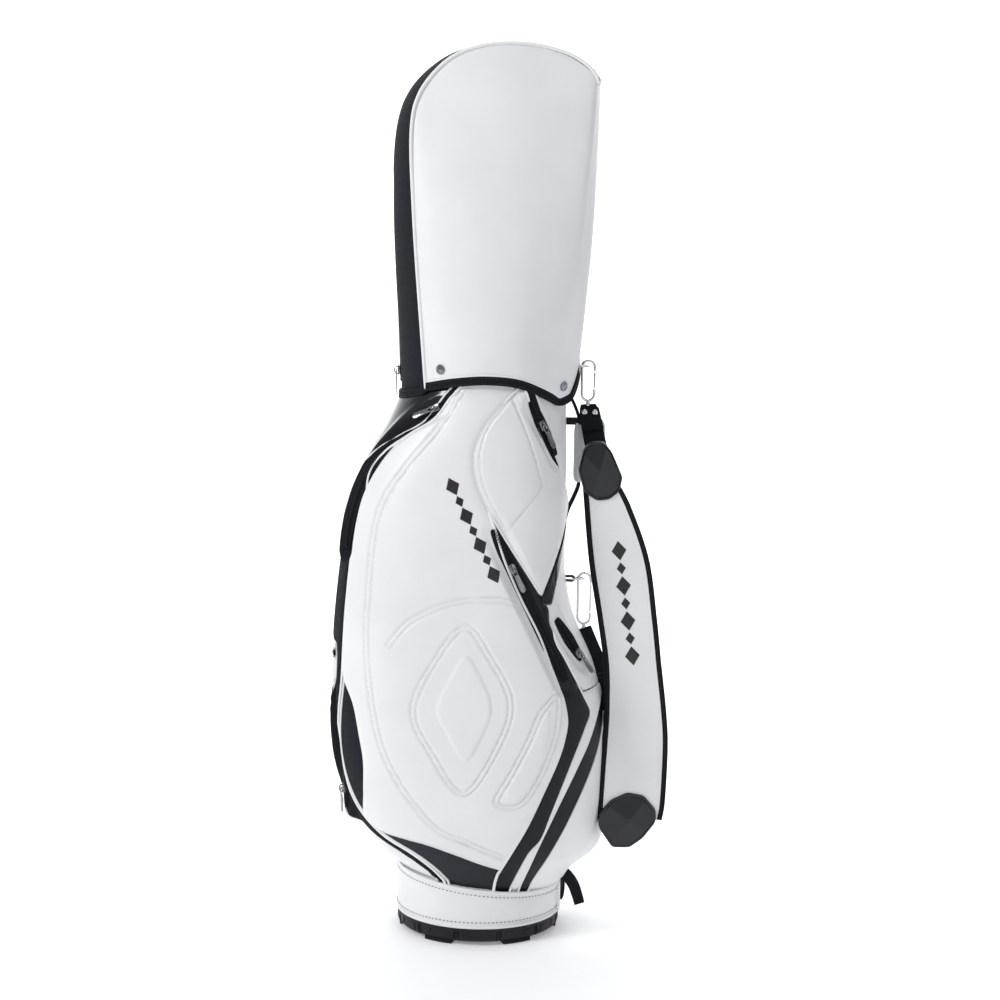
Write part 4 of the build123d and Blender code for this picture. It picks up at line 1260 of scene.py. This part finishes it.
def mouth_details():
    """Padded leather round the mouth, its binding and the dark roll on top of the dividers."""
    profile = [(114.9, 790), (116.4, 790), (116.9, 800), (117.1, 815), (116.9, 826), (116.4, 833.5),
               (114.9, 833.5)]
    angle = np.linspace(0, 2 * math.pi, 160, endpoint=False)
    rings = np.array([np.stack([r * np.cos(angle), r * np.sin(angle), np.full(160, z)], 1) for r,
                      z in profile])
    shape = Shape()
    shape.add(rings.reshape(-1, 3), tube_faces(len(profile), 160, closed=True))
    shape.make("mouth_leather", WHITE, "bag", "white_leather", ["top_cuff"])
    line = np.stack([115.4 * np.cos(angle), 115.4 * np.sin(angle), np.full(160, 834.0)], 1)
    roll = Shape()
    add_tube(roll, line, 1.7, 10, closed=True, normals=np.broadcast_to((0, 0, 1.0), line.shape))
    roll.make("mouth_binding", PIPING, "bag", "white_leather")
    seam = Shape()
    dense = np.linspace(0, 2 * math.pi, 600)
    out = np.stack([np.cos(dense), np.sin(dense), 0 * dense], 1)
    add_stitches(seam, out * 117.0 + (0, 0, 829), out, 3.2, 2.2, 0.34)
    seam.make("mouth_stitching", GREY_THREAD, "bag", "white_leather")
    fleece = Shape()
    for y0, y1, x in ((0, 0, None), (8, 100, -33), (8, 100, 33), (-8, -100, -33), (-8, -100, 33)):
        ends = [(-104, 0), (104, 0)] if x is None else [(x, y0), (x, y1)]
        line = np.array([(px, py, 837.4) for px, py in resample(ends, 4.0)])
        add_tube(fleece, line, 5.2, 12, normals=np.broadcast_to((0, 0, 1.0), line.shape), squash=0.62)
    fleece.make("divider_rolls", LINING, "bag", "lining")


# ============================================================ handle and strap
def arc_normals(points, hint):
    along = tangents(points)
    return unit(np.cross(np.cross(along, hint), along))


def grab_handle():
    for label, route in (("upper", [(116.8, 0, 812), (117.8, 0, 800), (122, 0, 784), (131, 0, 764),
                                    (136.5, 0, 748),
                                    (137.6, 0, 738)]),
                         ("lower", [(137.6, 0, 661), (136.6, 0, 651), (131, 0, 636), (123, 0, 618),
                                    (118.6, 0, 602), (117.6, 0, 586)])):
        line = resample(smooth_line(route), 2.5)
        shape = Shape()
        add_strap(shape, line, arc_normals(line, (1.0, 0, 0)), 24.0, 4.6, edge=0.8)
        shape.make(f"handle_{label}_webbing", WEBBING, "bag", "black_webbing",
                   ["handle_straps"] if label == "upper" else [])
    rows = []
    levels = np.linspace(-1, 1, 60)
    angle = np.linspace(0, 2 * math.pi, 40, endpoint=False)
    for level in levels:
        fat = (1 - abs(level) ** 5) ** 0.5 if abs(level) < 1 else 0.0
        half_x, half_y = 3.0 + 5.4 * fat, 12.2 + 4.0 * fat
        c, s = np.cos(angle), np.sin(angle)
        x = 136.2 + 1.6 * (1 - level**2) + half_x * np.sign(c) * np.abs(c) ** 0.75
        rows.append(np.stack([x, half_y * np.sign(s) * np.abs(s) ** 0.75, np.full(40, 699 + 42 * level)], 1))
    rings = np.array(rows)
    grip = Shape()
    grip.add(rings.reshape(-1, 3), tube_faces(60, 40), np.stack([np.tile(angle * 8, 60),
                                                                 rings[..., 2].ravel()], 1))
    piece = grip.make("handle_grip_sleeve", GREY_LEATHER, "bag", "white_leather", ["handle_grip"], sharp=60)
    seam = Shape()
    for side in (-1, 1):
        line = np.array([(143.9 + 1.6 * (1 - t * t), side * 7.0, 699 + 34 * t)
                         for t in np.linspace(-1, 1, 80)])
        add_stitches(seam, line, (1.0, 0, 0), 3.0, 1.6, 0.32)
    seam.make("handle_stitching", GREY_THREAD, "bag", "white_leather")
    rivets = Shape()
    for x, z in ((118.8, 801), (119.2, 597)):
        for y in (-6, 6):
            axes = np.array([(0, 1.0, 0), (0, 0, 1.0), (1.0, 0, 0)])
            lathe(rivets, [(0, -2), (3.6, -2), (3.7, 1.0), (2.9, 1.9), (1.2, 2.3), (0, 2.3)], axes, (x, y, z),
                  20)
    rivets.make("handle_rivet_caps", CHROME, "bag", "chrome", ["handle_rivets"], sharp=50)


def racetrack(centre, half_width, low, high, per_turn=18):
    """Closed round-ended loop that stands upright in X and Z."""
    upper = [(half_width * math.cos(a), high - half_width + half_width * math.sin(a))
             for a in np.linspace(0, math.pi, per_turn)]
    lower = [(half_width * math.cos(a), low + half_width + half_width * math.sin(a))
             for a in np.linspace(math.pi, 2 * math.pi, per_turn)]
    flat = np.array(upper + lower)
    x, y = centre
    return np.stack([x + flat[:, 0], np.full(len(flat), y), flat[:, 1]], 1)


HOOKS = {"upper": (776, 833), "lower": (452, 526)}
HOOK_PLACE = (147.5, -18.0)
HOOK_HALF = 9.0
GATE_GAP = 1.0


def snap_hook(name):
    low, high = HOOKS[name]
    gate_low, gate_high = low + 16, high - 16
    x, y = HOOK_PLACE
    gate_x = x + HOOK_HALF
    route = [(gate_x, gate_high)] + [(x + HOOK_HALF * math.cos(a), high - HOOK_HALF + HOOK_HALF * math.sin(a))
                                    for a in np.linspace(0, math.pi, 16)]
    route += [(x + HOOK_HALF * math.cos(a), low + HOOK_HALF + HOOK_HALF * math.sin(a))
              for a in np.linspace(math.pi, 2 * math.pi, 16)] + [(gate_x, gate_low)]
    line = resample([(px, y, pz) for px, pz in route], 1.5)
    radius = np.full(len(line), 2.0)
    radius[:4] = (1.5, 1.8, 1.9, 2.0)
    radius[-4:] = (2.0, 2.2, 2.4, 2.4)
    hook = Shape()
    add_tube(hook, line, radius, 14, normals=np.broadcast_to((0, 1.0, 0), line.shape))
    axes = np.eye(3)
    lathe(hook, [(0, low - 9), (2.6, low - 9), (3.5, low - 7.6), (3.5, low - 5), (2.8, low - 3.5),
                 (2.4, low + 0.5),
                 (0, low + 0.5)], axes, (x, y, 0))
    hook.make(f"{name}_snap_hook", CHROME, "strap", "chrome", [f"{name}_hook"], sharp=50)
    gate = Shape()
    post = [(gate_x, y, z) for z in np.linspace(gate_low + GATE_GAP, gate_high - GATE_GAP, 12)]
    thin = np.full(12, 1.45)
    thin[[0, -1]] = 1.2
    add_tube(gate, post, thin, 12, normals=np.broadcast_to((0, 1.0, 0), (12, 3)))
    gate.make(f"{name}_snap_gate", CHROME, f"{name}_gate", "chrome", [f"{name}_gate"], sharp=50)


PAD_FRONT_Y = -74.5
PAD_LEFT = [(141, 668), (143, 642), (152, 553), (166, 470), (176, 403), (178, 340), (176, 285), (172, 203),
            (172, 176)]
PAD_RIGHT = [(186, 668), (208, 628), (235, 554), (248, 470), (256, 403), (264, 340), (268, 285), (266, 205),
             (262, 176)]
PAD_BORDER = 8.5


def pad_grid(count=230, across=61):
    """Rows along the strap pad between its two edges: places in x and z, and the share across."""
    left = resample(smooth_line(PAD_LEFT), 1.0)
    right = resample(smooth_line(PAD_RIGHT), 1.0)
    t = np.linspace(0, 1, count)
    low = np.stack([np.interp(t, np.linspace(0, 1, len(left)), left[:, k]) for k in (0, 1)], 1)
    high = np.stack([np.interp(t, np.linspace(0, 1, len(right)), right[:, k]) for k in (0, 1)], 1)
    share = np.linspace(0, 1, across)
    return low[:, None] * (1 - share[None, :, None]) + high[:, None] * share[None, :, None]


def pad_lean(z):
    """How far the pad bows towards the viewer at a height."""
    return 3.0 * np.sin(np.pi * np.clip((np.asarray(z, float) - 176) / 492, 0, 1))


def pad_surface(flat):
    """Front face of the pad at (x, z) places given as a grid row by row."""
    width = np.linalg.norm(flat[:, -1] - flat[:, 0], axis=1)[:, None]
    share = np.linspace(0, 1, flat.shape[1])[None]
    gap = np.minimum(share, 1 - share) * width
    crown = 4.4 * np.sqrt(1 - (1 - np.clip(gap / 16.0, 0, 1)) ** 2) + 1.2 * np.sin(np.pi * share)
    ripple = 0.35 * np.sin(flat[..., 1] / 17.0 + flat[..., 0] / 30.0) * np.clip((gap - 4) / 14, 0, 1)
    y = PAD_FRONT_Y + 5.0 - pad_lean(flat[..., 1]) - crown - ripple
    return np.stack([flat[..., 0], y, flat[..., 1]], -1)


def strap_pad():
    flat = pad_grid()
    front = pad_surface(flat)
    normals = grid_normals(front)
    normals = np.where(normals[..., 1:2] > 0, -normals, normals)
    back = np.stack([flat[..., 0], -62.0 - pad_lean(flat[..., 1]) + 0 * flat[..., 0], flat[..., 1]], -1)
    shape = Shape()
    ring = np.concatenate([front, back[:, ::-1]], 1)
    faces = tube_faces(*ring.shape[:2])
    shape.add(ring.reshape(-1, 3), [face[::-1] for face in faces], ring[..., [0, 2]].reshape(-1, 2))
    work = shape.make("strap_pad_cushion", WHITE, "strap", "white_leather", ["strap_pad"], sharp=70)
    for label, column, lean in (("inner", 0, 1), ("outer", -1, -1)):
        line = back[:, column] * (1, 0, 1) + np.stack([0 * flat[:, 0, 0], -67.0 - pad_lean(flat[:, 0, 1]),
                                                       0 * flat[:, 0, 0]], 1)
        line = resample(line, 3.0)
        border = Shape()
        add_strap(border, line + (lean * 2.8, 0, 0), (0, -1.0, 0), PAD_BORDER, 12.6, edge=0.72)
        border.make(f"strap_{label}_binding", WEBBING, "strap", "black_webbing")
        piping = Shape()
        add_tube(piping, line + (lean * (PAD_BORDER * 0.5 + 3.2), -6.6, 0), 1.0, 8)
        piping.make(f"strap_{label}_piping", PIPING, "strap", "white_leather")
        seam = Shape()
        add_stitches(seam, line + (lean * 3.4, -6.5, 0), (0, -1.0, 0), 3.0, 1.6, 0.26)
        seam.make(f"strap_{label}_stitching", DARK_THREAD, "strap", "black_webbing")
    marks = Shape()
    start, end = np.array((191.0, 580.0)), np.array((217.0, 404.0))
    along = unit(end - start)
    across = np.array([along[1], -along[0]])
    for index in range(7):
        centre = start + (end - start) * (index + 0.5) / 7
        size = 14 * (1.0 if index % 2 == 0 else 0.62)
        a, b = np.meshgrid(np.linspace(-1, 1, 9), np.linspace(-1, 1, 9), indexing="ij")
        spot = centre + ((a + b) / 2)[..., None] * across * size * 0.75 + ((a - b) / 2)[...,
                                                                                        None] * along * size
        place = front.reshape(-1, 3)
        nearest = np.array([np.argmin((place[:, 0] - q[0]) ** 2 + (place[:, 2] - q[1]) ** 2)
                            for q in spot.reshape(-1, 2)])
        y = place[nearest, 1].reshape(spot.shape[:2])
        grid = np.stack([spot[..., 0], y - 0.35, spot[..., 1]], -1)
        add_sheet(marks, grid, np.broadcast_to((0, -1.0, 0), grid.shape), 0.7)
    marks.make("strap_print", INK, "strap", "black_leather")


def facet_patch(name, outline, centre, y_face, depth, rise, reach, lean, node):
    """Moulded end cap: rounded outline, bevelled rim and four flat facets that meet in a raised middle."""
    rim = resample(np.array(outline, float), 2.5, True)
    for _ in range(3):
        rim = (np.roll(rim, 1, 0) + rim * 2 + np.roll(rim, -1, 0)) / 4
    centre = np.array(centre, float)
    rings = []
    for scale, back in ((0.9, depth), (1.0, depth * 0.75), (1.0, 1.8), (0.985, 0.4), (0.95, 0.0),
                        (0.91, 0.5)):
        flat = centre + (rim - centre) * scale
        rings.append(np.stack([flat[:, 0], np.full(len(rim), y_face + back), flat[:, 1]], 1))
    for scale in np.linspace(0.88, 0.04, 22):
        flat = centre + (rim - centre) * scale
        aside = np.abs((flat - centre) @ (math.cos(lean), math.sin(lean))) / reach[0]
        along = np.abs((flat - centre) @ (-math.sin(lean), math.cos(lean))) / reach[1]
        height = rise * (1.12 - np.maximum(aside, along))
        rings.append(np.stack([flat[:, 0], y_face + 0.8 - height, flat[:, 1]], 1))
    work = bmesh.new()
    made = [work.verts.new(v) for v in np.array(rings).reshape(-1, 3)]
    for face in tube_faces(len(rings), len(rim)):
        work.faces.new([made[i] for i in face])
    bmesh.ops.recalc_face_normals(work, faces=work.faces)
    shape = Shape()
    add_bmesh(shape, work, WORLD)
    shape.make(name, CAP_LEATHER, "strap", "black_leather", [node], sharp=9)


def strap_ends():
    facet_patch("strap_upper_cap", [(140, 712), (150, 722), (168, 722), (180, 708), (196, 672), (192, 652),
                                    (178, 640), (160, 638), (142, 650), (133, 681)], (163, 681), -78.0, 22.0,
                6.5,
                (27.0, 44.0), math.radians(14), "strap_upper_end")
    facet_patch("strap_lower_cap", [(173, 186), (188, 205), (212, 217), (236, 213), (254, 192), (254, 174),
                                    (236, 150), (217, 136), (192, 136), (172, 165)], (215, 177), -79.0, 22.0,
                5.0,
                (36.0, 34.0), math.radians(8), "strap_lower_end")
    route = [(148, -18, 770), (149, -21.5, 764), (152, -26, 748), (157, -40, 722), (162, -58, 696),
             (166, -64, 668)]
    line = resample(smooth_line(route), 3.0)
    webbing = Shape()
    widths = np.interp(line[:, 2], (668, 740, 764, 770), (34, 31, 28, 22))
    add_strap(webbing, line, arc_normals(line, (0.15, -1.0, 0.0)), widths, 3.4, edge=0.8)
    webbing.make("strap_upper_webbing", WEBBING, "strap", "black_webbing", ["strap_webbing"])
    fold = Shape()
    add_strap(fold, line[2:14] + (0.4, -3.4, 0), arc_normals(line[2:14], (0.15, -1.0, 0.0)),
              widths[2:14] + 0.6, 3.2,
              edge=0.8)
    fold.make("strap_upper_fold", WEBBING, "strap", "black_webbing")
    seam = Shape()
    for drop in (746.0, 750.0):
        ends = np.array([(139.5, -30.6, drop), (165.5, -30.6, drop)])
        add_stitches(seam, resample(ends, 1.0), (0, -1.0, 0.3), 3.0, 1.4, 0.3)
    seam.make("strap_fold_stitching", DARK_THREAD, "strap", "black_webbing")
    eyelets = Shape()
    for x in (142.5, 157.5):
        axes = np.array([(1.0, 0, 0), (0, 0, 1.0), (0, -1.0, 0)])
        lathe(eyelets, [(0, 0), (3.8, 0), (4.0, 0.8), (3.2, 1.6), (1.6, 1.8), (0, 1.2)], axes,
              (x, -28.2, 760), 20)
    eyelets.make("strap_eyelets", CHROME, "strap", "chrome", sharp=50)
    route = [(214, -58, 140), (212, -57, 190), (200, -56, 270), (184, -54, 340), (166, -44, 398),
             (154, -28, 430),
             (148, -20, 446)]
    line = resample(smooth_line(route), 3.0)
    back = Shape()
    widths = np.interp(line[:, 2], (140, 398, 446), (34, 28, 22))
    add_strap(back, line, arc_normals(line, (0.1, -1.0, 0.0)), widths, 2.8, edge=0.8)
    back.make("strap_return_webbing", WEBBING, "strap", "black_webbing", ["strap_return"])
    slide = Shape()
    at = len(line) * 3 // 4
    loop = racetrack((0, 0), 6.5, -18, 18)[:, [0, 2]]
    along = tangents(line)[at]
    normal = arc_normals(line, (0.1, -1.0, 0.0))[at]
    side = np.cross(normal, along)
    frame_line = line[at] + loop[:, 1:2] * side + loop[:, :1] * along
    add_tube(slide, frame_line, 1.9, 10, closed=True, normals=np.broadcast_to(normal, frame_line.shape))
    add_tube(slide, line[at] + np.array([[-17.0], [17.0]]) * side, 1.7, 10)
    slide.make("strap_slide_buckle", PLASTIC, "strap", "moulded_black")


def rings_and_tabs():
    x, y = 136.0, -18.0
    rings = Shape()
    for z in (825.0, 518.0):
        turn = np.linspace(-math.pi / 2, math.pi / 2, 22)
        right = np.stack([x + 3 + 8.5 * np.cos(turn), y + 8.5 * np.sin(turn), np.full(22, z)], 1)
        line = np.vstack([[(129.6, y - 8.5, z)], right, [(129.6, y + 8.5, z)]])
        add_tube(rings, line, 1.6, 12)
        add_tube(rings, [(130.6, y - 9.6, z), (130.6, y, z), (130.6, y + 9.6, z)], 1.6, 12)
    rings.make("strap_d_rings", CHROME, "bag", "chrome", ["strap_rings"], sharp=60)
    anchors = Shape()
    seams = Shape()
    for z, root in ((825.0, 117.0), (518.0, 113.6)):
        route = [(root + 1.6, y, z - 22), (root + 1.8, y, z - 8), (root + 6, y, z - 3.4), (130, y, z - 3.2),
                 (133.4, y, z), (130, y, z + 3.2), (root + 6, y, z + 3.4), (root + 4.2, y, z + 8),
                 (root + 3.6, y, z + 14)]
        line = resample(smooth_line(route), 1.5)
        add_strap(anchors, line, unit(np.cross(tangents(line), (0, 1.0, 0))), 18.0, 2.0, edge=0.8)
        spot = np.array([(root + 3.4, y - 6, z - 20), (root + 3.4, y + 6, z - 10)])
        add_stitches(seams, resample(spot, 1.0), (1.0, 0, 0), 2.6, 1.2, 0.3)
        add_stitches(seams, resample(spot * (1, -1, 1) + (0, 2 * y, 0), 1.0), (1.0, 0, 0), 2.6, 1.2, 0.3)
    anchors.make("strap_anchor_webbing", WEBBING, "bag", "black_webbing", ["strap_anchors"])
    seams.make("strap_anchor_stitching", GREY_THREAD, "bag", "black_webbing")

    towel = Shape()
    add_tube(towel, racetrack((160.0, 34.0), 14.0, 668, 748), 2.0, 14, closed=True,
             normals=np.broadcast_to((0, 1.0, 0), (36, 3)))
    towel.make("towel_oval", CHROME, "towel_ring", "chrome", ["towel_ring"], sharp=60)
    tab = Shape()
    for side in (-4.75, 4.75):
        add_block(tab, WORLD, (138.2, 34.0 - 4.75 + 4.75 + side, 742), (49.5, 2.4, 10.5), 0.9)
    add_block(tab, WORLD, (115.4, 34, 742), (3.2, 13, 22), 1.2)
    add_tube(tab, [(160, 27.6, 741.9), (160, 34, 741.9), (160, 40.4, 741.9)], 1.8, 14)
    tab.make("towel_bracket", PLASTIC, "bag", "moulded_black", ["towel_tab"], sharp=40)

    tail = Shape()
    route = [(119.6, 26, 74), (124, 20, 72), (133, 10, 66), (141, 0, 56), (146, -8, 44), (150, -12, 31)]
    line = resample(smooth_line(route), 2.5)
    add_strap(tail, line, arc_normals(line, (0.6, -1.0, 0.3)),
              np.interp(line[:, 2], (30, 60, 74), (17, 20, 20)), 2.4,
              edge=0.8)
    loop = resample(smooth_line([(120.4, 34, 73), (124.0, 34, 66), (125.4, 34, 50), (124.0, 34, 34),
                                 (120.8, 34, 28)]), 2.5)
    add_strap(tail, loop, arc_normals(loop, (1.0, 0.3, 0)), 22.0, 2.4, edge=0.8)
    tail.make("umbrella_strap_tail", WEBBING, "bag", "black_webbing", ["umbrella_strap"])


# ============================================================ CAD nodes that stay, light, floor and camera
def dress_cad_nodes():
    """Gives every CAD node the procedural material of its slot."""
    slot_of = {part["node"]: part["material_slot"] for part in frame["record"]["subparts"]}
    for node, piece in frame["nodes"].items():
        material = SLOT_MATERIALS[slot_of[node]]
        if not piece.material_slots:
            piece.data.materials.append(material)
        for holder in piece.material_slots:
            holder.material = material


def stage():
    """Pale floor that curves up into a backdrop, and soft studio light."""
    work = bmesh.new()
    profile = [(-6.0, 0.0), (3.2, 0.0)]
    profile += [(3.2 + 1.6 * math.sin(a), 1.6 - 1.6 * math.cos(a)) for a in np.linspace(0.1, math.pi / 2, 14)]
    profile += [(4.8, 6.0)]
    rows = [[work.verts.new((x, y, z - 0.0005)) for x in (-9.0, 9.0)] for y, z in profile]
    for low, high in zip(rows, rows[1:]):
        work.faces.new((low[0], low[1], high[1], high[0]))
    mesh = bpy.data.meshes.new("studio_floor")
    work.to_mesh(mesh)
    work.free()
    mesh.polygons.foreach_set("use_smooth", [True] * len(mesh.polygons))
    floor = bpy.data.objects.new("studio_floor", mesh)
    bpy.context.scene.collection.objects.link(floor)
    material, nodes, links, shader = new_material("studio_paper", (0.9, 0.9, 0.905), 0.9)
    tone = texture(nodes, links, "ShaderNodeTexNoise", coordinates(nodes), 2.0, Detail=2.0)
    links.new(ramp(nodes, links, tone.outputs["Fac"], 0.3, 0.7, (0.9, 0.9, 0.905), (0.915, 0.915, 0.92)),
              shader.inputs["Base Color"])
    shader.inputs["Emission Color"].default_value = (1.0, 1.0, 1.0, 1)
    shader.inputs["Emission Strength"].default_value = 0.22
    mesh.materials.append(material)

    world = bpy.data.worlds.new("studio_air")
    world.use_nodes = True
    background = world.node_tree.nodes["Background"]
    background.inputs["Color"].default_value = (0.94, 0.97, 1.0, 1)
    background.inputs["Strength"].default_value = 0.36
    bpy.context.scene.world = world
    for name, place, aim, size, power in (
            ("key", (-2.7, -1.7, 2.5), (0, 0, 0.7), 1.0, 62),
            ("fill", (1.6, -3.2, 1.2), (0, 0, 0.6), 2.0, 9),
            ("top", (0.2, -0.4, 3.4), (0, 0, 0.6), 2.0, 14),
            ("rim", (1.8, 2.2, 2.4), (0, 0, 0.8), 1.6, 8),
            ("backdrop", (0, 1.9, 3.6), (0, 5.2, 0.9), 3.0, 190)):
        lamp = bpy.data.lights.new(name, "AREA")
        lamp.size = size
        lamp.energy = power
        holder = bpy.data.objects.new(name, lamp)
        holder.location = place
        holder.rotation_euler = (Vector(aim) - Vector(place)).to_track_quat("-Z", "Y").to_euler()
        bpy.context.scene.collection.objects.link(holder)
    bpy.context.scene.view_settings.view_transform = "Standard"


def camera():
    lens = bpy.data.cameras.new("photo_camera")
    lens.sensor_width = SENSOR_MM
    lens.lens = SENSOR_MM * FOCAL_WIDTHS
    lens.shift_x, lens.shift_y = SHIFT
    holder = bpy.data.objects.new("photo_camera", lens)
    holder.matrix_world = (Matrix.Translation(CAMERA_PLACE) @ Matrix.Rotation(math.pi / 2 - CAMERA_PITCH, 4,
                                                                              "X")
                           @ Matrix.Rotation(CAMERA_ROLL, 4, "Z"))
    bpy.context.scene.collection.objects.link(holder)
    bpy.context.scene.camera = holder


dress_cad_nodes()
stage()
camera()
side_of_body("near")
side_of_body("far")
spine_panels()
front_panels()
for zip_name in ("near_front", "near_rear", "near_valuables", "spine", "ball"):
    zip_chain(zip_name, "bag", f"{zip_name}_zip")
    slider_pieces(zip_name)
zip_chain("near_front", "bag", "far_front_zip", mirror=True, label="far_front")
zip_chain("hood", "hood", "hood_zip")
slider_pieces("hood")
hood_trim(*hood_sides())
hood_gusset()
base_cuff()
base_details()
mouth_details()
grab_handle()
snap_hook("upper")
snap_hook("lower")
strap_pad()
strap_ends()
rings_and_tabs()

bpy.context.view_layer.update()
